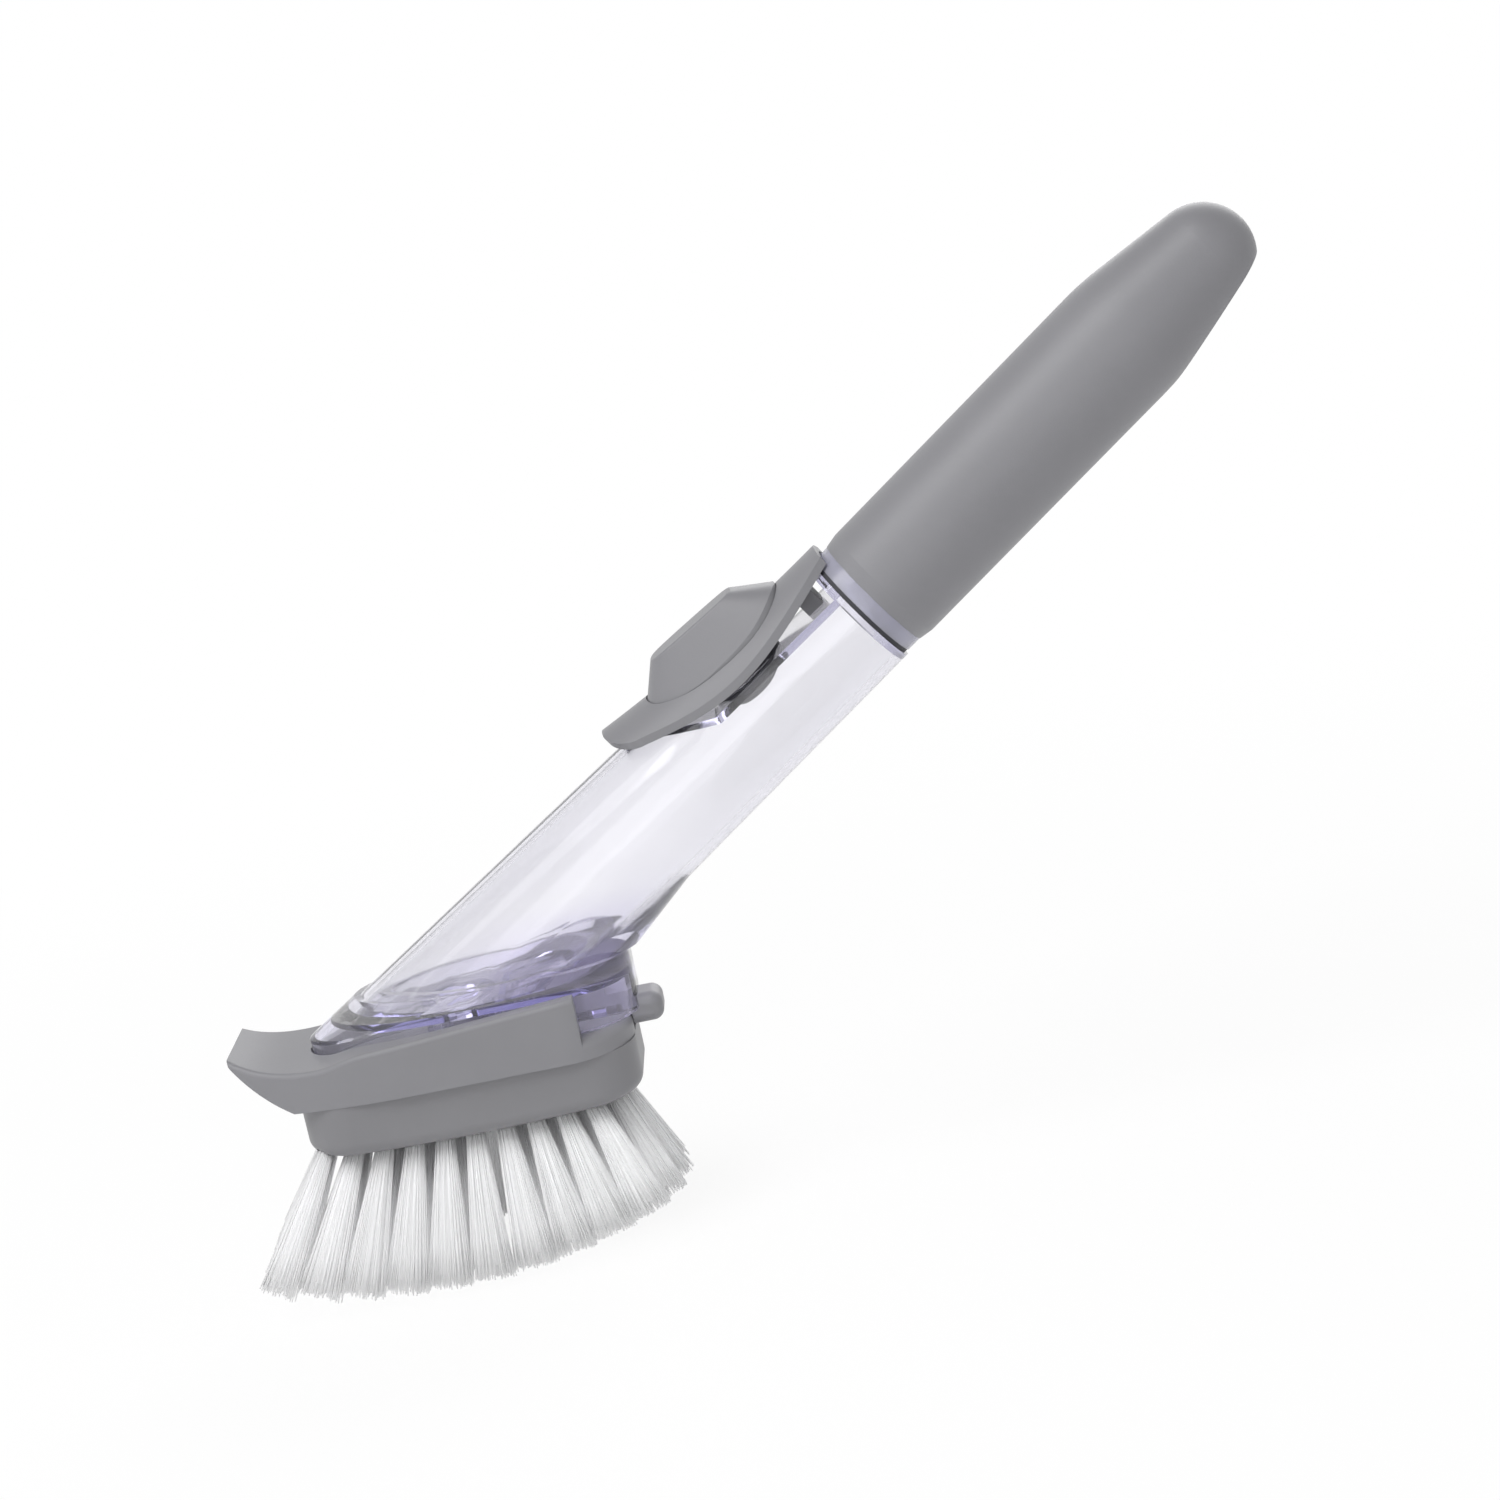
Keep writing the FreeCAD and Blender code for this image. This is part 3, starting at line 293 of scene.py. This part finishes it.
class Graph:
    """The node tree of a material or world, emptied."""

    def __init__(self, owner):
        owner.use_nodes = True
        self.tree = owner.node_tree
        self.tree.nodes.clear()

    def node(self, kind, settings=None, inputs=None, output=0):
        made = self.tree.nodes.new(kind)
        for key, setting in (settings or {}).items():
            setattr(made, key, setting)
        for key, given in (inputs or {}).items():
            if isinstance(given, Value):
                self.tree.links.new(given.socket, made.inputs[key])
            else:
                made.inputs[key].default_value = given
        return Value(self, made.outputs[output] if len(made.outputs) else None)

    def place(self):
        return self.node("ShaderNodeTexCoord", output="Object")

    def noise(self, place, scale, detail=2.0, roughness=0.5):
        sockets = {"Vector": place, "Scale": scale, "Detail": detail, "Roughness": roughness}
        return self.node("ShaderNodeTexNoise", None, sockets)

    def blend(self, factor, first, second):
        sockets = {0: factor, 6: first, 7: second}
        return self.node("ShaderNodeMix", {"data_type": "RGBA"}, sockets, output=2)

    def tones(self, factor, colour, shares):
        """The colour, from its darkest to its lightest share."""
        return self.blend(factor, *(opaque(colour, share) for share in shares))

    def ramp(self, value, start, end, low, high):
        """Goes smoothly from low to high while the value goes from start to end."""
        sockets = {"Value": value, "From Min": start, "From Max": end, "To Min": low, "To Max": high}
        return self.node("ShaderNodeMapRange", SMOOTH_STEP, sockets)

    def bump(self, height, strength, distance):
        return self.node("ShaderNodeBump", None, {"Strength": strength, "Distance": distance, "Height": height})


def opaque(colour, gain=1.0):
    return (*(min(1.0, part * gain) for part in colour), 1.0)


def new_graph(name):
    material = bpy.data.materials.new(name)
    return material, Graph(material)


def satin_grey(name, colour, finishes):
    """Fine satin moulding: small grain in the bump, slow clouds in tone and gloss."""
    material, graph = new_graph(name)
    place = graph.place()
    grain = graph.noise(place, finishes.grain_scale, detail=3.0, roughness=0.6)
    cloud = graph.noise(place, GREY_CLOUDS, detail=3.0)
    least = finishes.grey_roughness - (GREY_GRAIN_GLOSS + GREY_CLOUD_GLOSS) / 2
    shader = graph.node("ShaderNodeBsdfPrincipled", None, {
        "Base Color": graph.tones(cloud, colour, GREY_TONES),
        "Roughness": least + grain * GREY_GRAIN_GLOSS + cloud * GREY_CLOUD_GLOSS,
        "Normal": graph.bump(grain, strength=0.40, distance=0.00006),
        "IOR": 1.50,
        "Specular IOR Level": 0.45,
    })
    graph.node("ShaderNodeOutputMaterial", None, {"Surface": shader})
    return material


def heel_mask(graph, place):
    """1 where the tube thickens into its foot and heel, 0 up the tube and at the toe."""
    part = {axis: graph.node("ShaderNodeSeparateXYZ", None, {0: place}, output=axis) for axis in "XZ"}
    low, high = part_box("tank_base")
    down = graph.ramp(part["Z"], high.z + HEEL_FULL_BELOW, high.z + HEEL_NONE_ABOVE, 1.0, 0.0)
    back = graph.ramp(part["X"], low.x + HEEL_BEHIND_FRONT, high.x - HEEL_BEFORE_REAR, 0.0, 1.0)
    return down * back


def clear_plastic(name, colour, thick, tint, depth, roughness, passing):
    """Clear moulding with a slow ripple and a trace of haze, lavender where it is thick."""
    material, graph = new_graph(name)
    place = graph.place()
    ripple = graph.noise(place, CLEAR_RIPPLE, detail=1.0)
    haze = graph.noise(place, CLEAR_HAZE, detail=2.0)
    tone = graph.tones(haze, colour, CLEAR_TONES)
    if thick:
        tone = graph.blend(heel_mask(graph, place), tone, opaque(thick))
    shader = graph.node("ShaderNodeBsdfPrincipled", None, {
        "Base Color": tone,
        "Roughness": roughness * (LEAST_HAZE + haze),
        "Normal": graph.bump(ripple, strength=0.05, distance=0.0009),
        "IOR": 1.49,
        "Transmission Weight": passing,
    })
    inside = graph.node("ShaderNodeVolumeAbsorption", None, {"Color": opaque(tint), "Density": depth})
    graph.node("ShaderNodeOutputMaterial", None, {"Surface": shader, "Volume": inside})
    return material


def soft_rubber(name, colour, roughness, spread):
    """Moulded elastomer with a faint dusty bloom."""
    material, graph = new_graph(name)
    place = graph.place()
    bloom = graph.noise(place, RUBBER_BLOOM, detail=4.0, roughness=0.6)
    grain = graph.noise(place, RUBBER_GRAIN, detail=2.0)
    shader = graph.node("ShaderNodeBsdfPrincipled", None, {
        "Base Color": graph.tones(bloom, colour, (1 - spread, 1 + spread)),
        "Roughness": roughness - RUBBER_GLOSS / 2 + bloom * RUBBER_GLOSS,
        "Normal": graph.bump(grain, strength=0.15, distance=0.00002),
        "Specular IOR Level": 0.35,
    })
    graph.node("ShaderNodeOutputMaterial", None, {"Surface": shader})
    return material


def drawn_steel(name, colour):
    """Drawn wire: fine scratches and a little tarnish."""
    material, graph = new_graph(name)
    place = graph.place()
    scratch = graph.noise(place, STEEL_SCRATCHES, detail=3.0, roughness=0.7)
    tarnish = graph.noise(place, STEEL_TARNISH, detail=3.0)
    shader = graph.node("ShaderNodeBsdfPrincipled", None, {
        "Base Color": graph.tones(tarnish, colour, STEEL_TONES),
        "Metallic": 1.0,
        "Roughness": STEEL_ROUGHNESS + scratch * STEEL_GLOSS,
        "Normal": graph.bump(scratch, strength=0.10, distance=0.00001),
    })
    graph.node("ShaderNodeOutputMaterial", None, {"Surface": shader})
    return material


def nylon(name, bristles):
    """White filament: each has its own tone, and painted shade darkens it towards the root."""
    material, graph = new_graph(name)
    tone = graph.node("ShaderNodeAttribute", {"attribute_name": "filament_tone"}, output="Fac")
    along = graph.node("ShaderNodeAttribute", {"attribute_name": "filament_along"}, output="Fac")
    own = NYLON_LEAST_TONE + tone * (1 - NYLON_LEAST_TONE)
    # Painted shade: darker towards the root, where the tufts crowd the plate.
    root_shade = NYLON_ROOT_SHADE + along * (1 - NYLON_ROOT_SHADE)
    shader = graph.node("ShaderNodeBsdfPrincipled", None, {
        "Base Color": graph.blend(own * root_shade, opaque(bristles.dull_and_shaded), opaque(bristles.bright)),
        "Roughness": NYLON_ROUGHNESS - tone * NYLON_GLOSS,
        "Specular IOR Level": 0.4,
        "Sheen Weight": 0.5,
        "Sheen Roughness": 0.4,
    })
    graph.node("ShaderNodeOutputMaterial", None, {"Surface": shader})
    return material


def dress(nodes, material):
    """Puts a material in every slot of these CAD nodes."""
    for name in nodes:
        node = frame["nodes"][name]
        if not node.material_slots:
            node.data.materials.append(material)
        for slot in node.material_slots:
            slot.material = material


def only(piece):
    """Leaves one piece selected and active."""
    bpy.ops.object.select_all(action="DESELECT")
    piece.select_set(True)
    bpy.context.view_layer.objects.active = piece


def copy_of(piece, matrix):
    """A copy with its own mesh, moved by the matrix."""
    made = piece.copy()
    made.data = piece.data.copy()
    made.data.transform(matrix)
    bpy.context.collection.objects.link(made)
    return made


def joined(pieces, name):
    """The pieces as one, under a new name."""
    bpy.ops.object.select_all(action="DESELECT")
    for piece in pieces:
        piece.select_set(True)
    bpy.context.view_layer.objects.active = pieces[0]
    bpy.ops.object.join()
    made = bpy.context.view_layer.objects.active
    made.name = name
    made.data.name = name
    return made


def merged_copy(node, name, material):
    """A piece of its own with a CAD node's shape, its triangles merged and shaded smooth by angle."""
    piece = bpy.data.objects.new(name, frame["nodes"][node].data.copy())
    piece.data.name = name
    bpy.context.collection.objects.link(piece)
    only(piece)
    bpy.ops.mesh.customdata_custom_splitnormals_clear()
    bpy.ops.object.mode_set(mode="EDIT")
    bpy.ops.mesh.select_all(action="SELECT")
    bpy.ops.mesh.remove_doubles(threshold=MERGE_DISTANCE)
    bpy.ops.object.mode_set(mode="OBJECT")
    bpy.ops.object.shade_smooth_by_angle(angle=SMOOTH_ANGLE)
    piece.data.materials.clear()
    piece.data.materials.append(material)
    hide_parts(node)
    return piece


def joint_of(name):
    """A joint of the record."""
    return next(joint for joint in frame["record"]["behaviour"]["joints"] if joint["name"] == name)


def drop(*pieces):
    """Removes pieces that were only copied from, with their meshes."""
    for piece in pieces:
        mesh = piece.data
        bpy.data.objects.remove(piece)
        bpy.data.meshes.remove(mesh)


class WAND_OT_grey_mouldings(Operator):
    """Dress the shoe, plate, hook, knob, saddle, button and grip"""

    bl_idname = "wand.grey_mouldings"
    bl_label = "Grey mouldings"

    def execute(self, context):
        finishes = context.scene.wand_finishes
        dress(GREY_NODES, satin_grey("satin_grey", finishes.grey, finishes))
        # The plate takes the grey darkened as painted shade under the shoe.
        dress(PLATE_NODES, satin_grey("plate_grey", finishes.plate_grey, finishes))
        return {"FINISHED"}


class WAND_OT_clear_mouldings(Operator):
    """Dress the tank, its foot, the valve's ring and the handle's collar"""

    bl_idname = "wand.clear_mouldings"
    bl_label = "Clear mouldings"

    def execute(self, context):
        finishes = context.scene.wand_finishes
        dress(TUBE_NODES, clear_plastic(
            "tube_plastic", finishes.clear, finishes.thick, finishes.tube_tint, finishes.tube_depth,
            roughness=0.07, passing=0.965))
        dress(FOOT_NODES, clear_plastic(
            "foot_plastic", finishes.clear, finishes.thick, finishes.tint, finishes.foot_depth,
            roughness=0.025, passing=0.965))
        dress(COLLAR_NODES, clear_plastic(
            "collar_plastic", finishes.hazy, None, finishes.tint, finishes.foot_depth,
            roughness=0.22, passing=0.6))
        for name in (*TUBE_NODES, *FOOT_NODES, *COLLAR_NODES):
            frame["nodes"][name].visible_shadow = False
        return {"FINISHED"}


class WAND_OT_seals(Operator):
    """Dress the neck seal and the outlet valve, and make the pump's membrane, which the plunger presses in the real
    wand, as a piece of its own
    """

    bl_idname = "wand.seals"
    bl_label = "Seals, valve and membrane"

    def execute(self, context):
        finishes = context.scene.wand_finishes
        rubber = soft_rubber("dark_rubber", finishes.rubber, roughness=0.62, spread=0.25)
        dress(RUBBER_NODES, rubber)
        piece = merged_copy("pump_diaphragm", "pump_membrane", rubber)
        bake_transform(piece)
        dress(SILICONE_NODES, soft_rubber("pale_silicone", finishes.silicone, roughness=0.40, spread=0.04))
        return {"FINISHED"}


class WAND_OT_wire(Operator):
    """Dress the tuft staples and make the release spring, which shortens in the real wand when the knob is pressed,
    as a piece on the tank
    """

    bl_idname = "wand.wire"
    bl_label = "Wire"

    def execute(self, context):
        steel = drawn_steel("drawn_steel", context.scene.wand_finishes.steel)
        dress(STEEL_NODES, steel)
        piece = merged_copy("release_spring", "release_coil", steel)
        low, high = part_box("release_spring")
        travel = joint_of("release_press")["range_m"][1]
        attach(piece, "tank")
        1 - travel / (high.x - low.x)
        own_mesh(piece)
        return {"FINISHED"}


def filament(bristles):
    """One filament of unit length along Z, with a slight curve."""
    bpy.ops.object.select_all(action="DESELECT")
    bpy.ops.mesh.primitive_cylinder_add(
        vertices=FILAMENT_SIDES, radius=bristles.filament_radius, depth=1.0, end_fill_type="NGON",
        location=(0, 0, 0.5))
    piece = bpy.context.view_layer.objects.active
    piece.name = "filament"
    bpy.ops.object.transform_apply(location=True, rotation=True, scale=True)
    bpy.ops.object.mode_set(mode="EDIT")
    for height in FILAMENT_CUTS:
        bpy.ops.mesh.select_all(action="SELECT")
        bpy.ops.mesh.bisect(plane_co=(0, 0, height), plane_no=(0, 0, 1))
    for low, shift in FILAMENT_SHIFTS:
        form = bmesh.from_edit_mesh(piece.data)
        bpy.ops.mesh.select_all(action="DESELECT")
        for vertex in form.verts:
            vertex.select = vertex.co.z > low
        form.select_flush_mode()
        bmesh.update_edit_mesh(piece.data)
        bpy.ops.transform.translate(value=(shift * bristles.filament_radius, 0, 0))
    bpy.ops.mesh.select_all(action="SELECT")
    bpy.ops.mesh.normals_make_consistent(inside=False)
    bpy.ops.object.mode_set(mode="OBJECT")
    bpy.ops.object.shade_smooth()
    along = piece.data.attributes.new("filament_along", "FLOAT", "POINT")
    along.data.foreach_set("value", [vertex.co.z for vertex in piece.data.vertices])
    piece.data.attributes.new("filament_tone", "FLOAT", "POINT")
    return piece


def core(bristles):
    """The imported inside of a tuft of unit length, which shows between the outer filaments."""
    bpy.ops.object.select_all(action="DESELECT")
    bpy.ops.mesh.primitive_cone_add(
        vertices=CORE_SIDES, radius1=CORE_ROOT * bristles.root_radius, radius2=CORE_TIP * bristles.tip_across,
        depth=CORE_LENGTH, end_fill_type="NGON", location=(0, 0, CORE_LENGTH / 2))
    piece = bpy.context.view_layer.objects.active
    bpy.ops.object.transform_apply(location=True, rotation=True, scale=True)
    bpy.ops.object.mode_set(mode="EDIT")
    form = bmesh.from_edit_mesh(piece.data)
    bpy.ops.mesh.select_all(action="DESELECT")
    for face in form.faces:
        face.select = face.normal.z > FACES_UP
    form.select_flush_mode()
    bmesh.update_edit_mesh(piece.data)
    widen = (bristles.tip_along / bristles.tip_across, 1, 1)
    bpy.ops.transform.resize(value=widen, center_override=(0, 0, CORE_LENGTH))
    bpy.ops.mesh.inset(thickness=CORE_INSET * bristles.tip_across)
    bpy.ops.transform.translate(value=(0, 0, CORE_DOME))
    bpy.ops.object.mode_set(mode="OBJECT")
    bpy.ops.object.shade_smooth()
    along = piece.data.attributes.new("filament_along", "FLOAT", "POINT")
    along.data.foreach_set("value", [vertex.co.z for vertex in piece.data.vertices])
    tone = piece.data.attributes.new("filament_tone", "FLOAT", "POINT")
    tone.data.foreach_set("value", [CORE_TONE] * len(piece.data.vertices))
    return piece


def tuft(one, bristles, chance, name):
    """A tuft of unit length: a core and filaments spread evenly round it, flared from root to tip."""
    pieces = [core(bristles)]
    for number in range(bristles.filaments):
        share = math.sqrt(CORE_SHARE + (1 - CORE_SHARE) * (number + 0.5) / bristles.filaments)
        angle = number * GOLDEN_ANGLE + chance.uniform(-ANGLE_STRAY, ANGLE_STRAY)
        outward = Vector((math.cos(angle), math.sin(angle), 0))
        root = outward * (share * bristles.root_radius)
        stray = Vector((chance.gauss(0, 1), chance.gauss(0, 1), 0)) * (TIP_STRAY * (1 - OUTER_CALM * share))
        tip = Vector((outward.x * bristles.tip_along, outward.y * bristles.tip_across, 0)) * share + stray
        rise = tip - root + Vector((0, 0, chance.uniform(SHORTEST, 1.0)))
        turn = Matrix.Rotation(chance.uniform(0, 2 * math.pi), 4, "Z")
        grow = Matrix.Identity(4)
        grow.col[2] = rise.to_4d()
        grow.col[2][3] = 0
        piece = copy_of(one, Matrix.Translation(root) @ grow @ turn)
        level = chance.random()
        piece.data.attributes["filament_tone"].data.foreach_set("value", [level] * len(piece.data.vertices))
        pieces.append(piece)
    return joined(pieces, name)


class WAND_OT_bristles(Operator):
    """Fill every tuft's place with nylon filaments"""

    bl_idname = "wand.bristles"
    bl_label = "Bristles"

    def execute(self, context):
        bristles = context.scene.wand_bristles
        chance = random.Random(bristles.seed)
        one = filament(bristles)
        bundles = [tuft(one, bristles, chance, "tuft_%d" % number) for number in range(TUFT_KINDS)]
        low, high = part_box("bristle_plate")
        valve_low, valve_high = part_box("outlet_valve")
        hole = (valve_low.x + valve_high.x) / 2
        middle = (low.x + high.x) / 2
        half = (high.x - low.x) / 2
        copies = []
        for row in range(bristles.rows):
            across = 2 * row / (bristles.rows - 1) - 1
            first = low.x + bristles.front_margin
            last = high.x - bristles.rear_margin - bristles.corner_margin * across ** 2
            for column in range(bristles.columns):
                along = column / (bristles.columns - 1)
                x = first + along * (last - first)
                y = across * (high.y - bristles.side_margin)
                if math.hypot(x - hole, y) < bristles.hole_clear:
                    continue
                lean = bristles.front_lean + along * (bristles.rear_lean - bristles.front_lean)
                way = Vector((math.tan(lean), math.tan(bristles.splay * across), -1)).normalized()
                shorter = bristles.rear_drop * along ** 3 + bristles.front_drop * (1 - along) ** 3
                reach = bristles.length - TIP_TRIM - shorter
                crown = bristles.plate_crown * ((x - middle) / half) ** 2
                root = Vector((x, y, high.z - bristles.plate_depth + crown)) - way * ROOT_DEPTH
                side = way.cross(Vector((1, 0, 0))).normalized()
                turn = Matrix((side.cross(way), side, way)).transposed().to_4x4()
                spin = Matrix.Rotation(chance.choice((0, math.pi)), 4, "Z")
                narrow = bristles.tip_across / bristles.tip_along if column == 0 else 1
                scale = Matrix.Diagonal((narrow, 1, reach + ROOT_DEPTH, 1))
                bundle = bundles[chance.randrange(len(bundles))]
                copies.append(copy_of(bundle, Matrix.Translation(root) @ turn @ scale @ spin))
        piece = joined(copies, "bristle_filaments")
        drop(one, *bundles)
        piece.data.materials.clear()
        piece.data.materials.append(nylon("white_nylon", bristles))
        piece.visible_shadow = False
        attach(piece, "head")
        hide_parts("bristle_tufts")
        return {"FINISHED"}


def seen_clear(graph):
    """1 for rays that show the backdrop: straight, mirrored or through clear plastic."""
    path = {name: graph.node("ShaderNodeLightPath", output=name)
            for name in ("Is Camera Ray", "Is Glossy Ray", "Is Transmission Ray")}
    hidden = (1 - path["Is Camera Ray"]) * (1 - path["Is Glossy Ray"]) * (1 - path["Is Transmission Ray"])
    return 1 - hidden


def lamp(name, place, target, size, power):
    """A round soft lamp that points at the target."""
    data = bpy.data.lights.new(name, "AREA")
    data.shape = "DISK"
    data.size = size
    data.energy = power
    made = bpy.data.objects.new(name, data)
    made.location = place
    made.rotation_euler = (Vector(target) - Vector(place)).to_track_quat("-Z", "Y").to_euler()
    bpy.context.collection.objects.link(made)


class WAND_OT_stage(Operator):
    """Make the pale floor, the soft light and the camera"""

    bl_idname = "wand.stage"
    bl_label = "Studio"

    def execute(self, context):
        stage = context.scene.wand_stage
        self.floor(stage)
        self.world(context.scene, stage)
        for name, power, place, size in LAMPS:
            lamp(name, place, LAMP_TARGET, size, getattr(stage, power))
        self.card(stage)
        self.camera(context.scene, stage)
        context.scene.view_settings.view_transform = "Standard"
        return {"FINISHED"}

    def floor(self, stage):
        bpy.ops.object.select_all(action="DESELECT")
        bpy.ops.mesh.primitive_plane_add(size=2 * stage.floor_size, location=(0, 0, 0))
        floor = bpy.context.view_layer.objects.active
        floor.name = "floor"
        material, graph = new_graph("pale_floor")
        away = graph.node("ShaderNodeVectorMath", {"operation": "LENGTH"}, {0: graph.place()}, output="Value")
        far = graph.ramp(away, FLOOR_NEAR, FLOOR_FAR, FLOOR_NEAR_WHITE, 1.0)
        diffuse = graph.node("ShaderNodeBsdfDiffuse", None, {"Color": opaque(stage.floor)})
        white = graph.node("ShaderNodeEmission", None, {"Color": WHITE, "Strength": 1.0})
        mixed = graph.node("ShaderNodeMixShader", None, {0: seen_clear(graph) * far, 1: diffuse, 2: white})
        graph.node("ShaderNodeOutputMaterial", None, {"Surface": mixed})
        floor.data.materials.append(material)

    def card(self, stage):
        name = "soft_card"
        bpy.ops.object.select_all(action="DESELECT")
        bpy.ops.mesh.primitive_plane_add(size=1.0, location=CARD_PLACE)
        card = bpy.context.view_layer.objects.active
        card.name = name
        card.scale = (*CARD_SIZE, 1)
        card.rotation_euler = (Vector(CARD_PLACE) - Vector(CARD_TARGET)).to_track_quat("Z", "X").to_euler()
        material, graph = new_graph(name)
        white = graph.node("ShaderNodeEmission", None, {"Color": WHITE, "Strength": stage.card})
        graph.node("ShaderNodeOutputMaterial", None, {"Surface": white})
        card.data.materials.append(material)
        card.visible_camera = False
        card.visible_diffuse = False
        card.visible_transmission = False
        card.visible_shadow = False

    def world(self, scene, stage):
        world = bpy.data.worlds.new("studio")
        graph = Graph(world)
        straight = graph.node("ShaderNodeLightPath", output="Is Camera Ray")
        shown = seen_clear(graph)
        toward = graph.node("ShaderNodeTexCoord", output="Generated")
        height = graph.node("ShaderNodeSeparateXYZ", None, {0: toward}, output="Z")
        high = graph.ramp(height, CEILING_LOW, CEILING_HIGH, 0.0, stage.top_shade)
        strength = shown * (1 - high * (1 - straight)) + (1 - shown) * stage.ambient
        back = graph.node("ShaderNodeBackground", None, {"Color": WHITE, "Strength": strength})
        graph.node("ShaderNodeOutputWorld", None, {"Surface": back})
        scene.world = world

    def camera(self, scene, stage):
        data = bpy.data.cameras.new("camera")
        data.sensor_width = SENSOR_MILLIMETRES
        data.lens = stage.lens
        data.clip_start = CLIP_START
        camera = bpy.data.objects.new("camera", data)
        camera.location = stage.camera_place
        camera.rotation_euler = stage.camera_turn
        bpy.context.collection.objects.link(camera)
        scene.camera = camera


class WAND_PT_panel(Panel):
    """Everything that dresses the dish wand"""

    bl_idname = "WAND_PT_panel"
    bl_label = "Dish wand"
    bl_space_type = "VIEW_3D"
    bl_region_type = "UI"
    bl_category = "Dish wand"

    def draw(self, context):
        scene = context.scene
        groups = (
            ("Finishes", scene.wand_finishes),
            ("Membrane", scene.wand_membrane),
            ("Bristles", scene.wand_bristles),
            ("Studio", scene.wand_stage),
        )
        for title, group in groups:
            box = self.layout.box()
            box.label(text=title)
            for name in group.__annotations__:
                box.prop(group, name)
        for step in STEPS:
            self.layout.operator(step.bl_idname)


STEPS = (
    WAND_OT_grey_mouldings,
    WAND_OT_clear_mouldings,
    WAND_OT_seals,
    WAND_OT_wire,
    WAND_OT_bristles,
    WAND_OT_stage,
)
CLASSES = (WandFinishes, WandMembrane, WandBristles, WandStage, *STEPS, WAND_PT_panel)


def register():
    for kind in CLASSES:
        bpy.utils.register_class(kind)
    bpy.types.Scene.wand_finishes = PointerProperty(type=WandFinishes)
    bpy.types.Scene.wand_membrane = PointerProperty(type=WandMembrane)
    bpy.types.Scene.wand_bristles = PointerProperty(type=WandBristles)
    bpy.types.Scene.wand_stage = PointerProperty(type=WandStage)


def unregister():
    del bpy.types.Scene.wand_stage
    del bpy.types.Scene.wand_bristles
    del bpy.types.Scene.wand_membrane
    del bpy.types.Scene.wand_finishes
    for kind in reversed(CLASSES):
        bpy.utils.unregister_class(kind)


def main():
    register()
    bpy.ops.wand.grey_mouldings()
    bpy.ops.wand.clear_mouldings()
    bpy.ops.wand.seals()
    bpy.ops.wand.wire()
    bpy.ops.wand.bristles()
    bpy.ops.wand.stage()


if __name__ == "__main__":
    main()
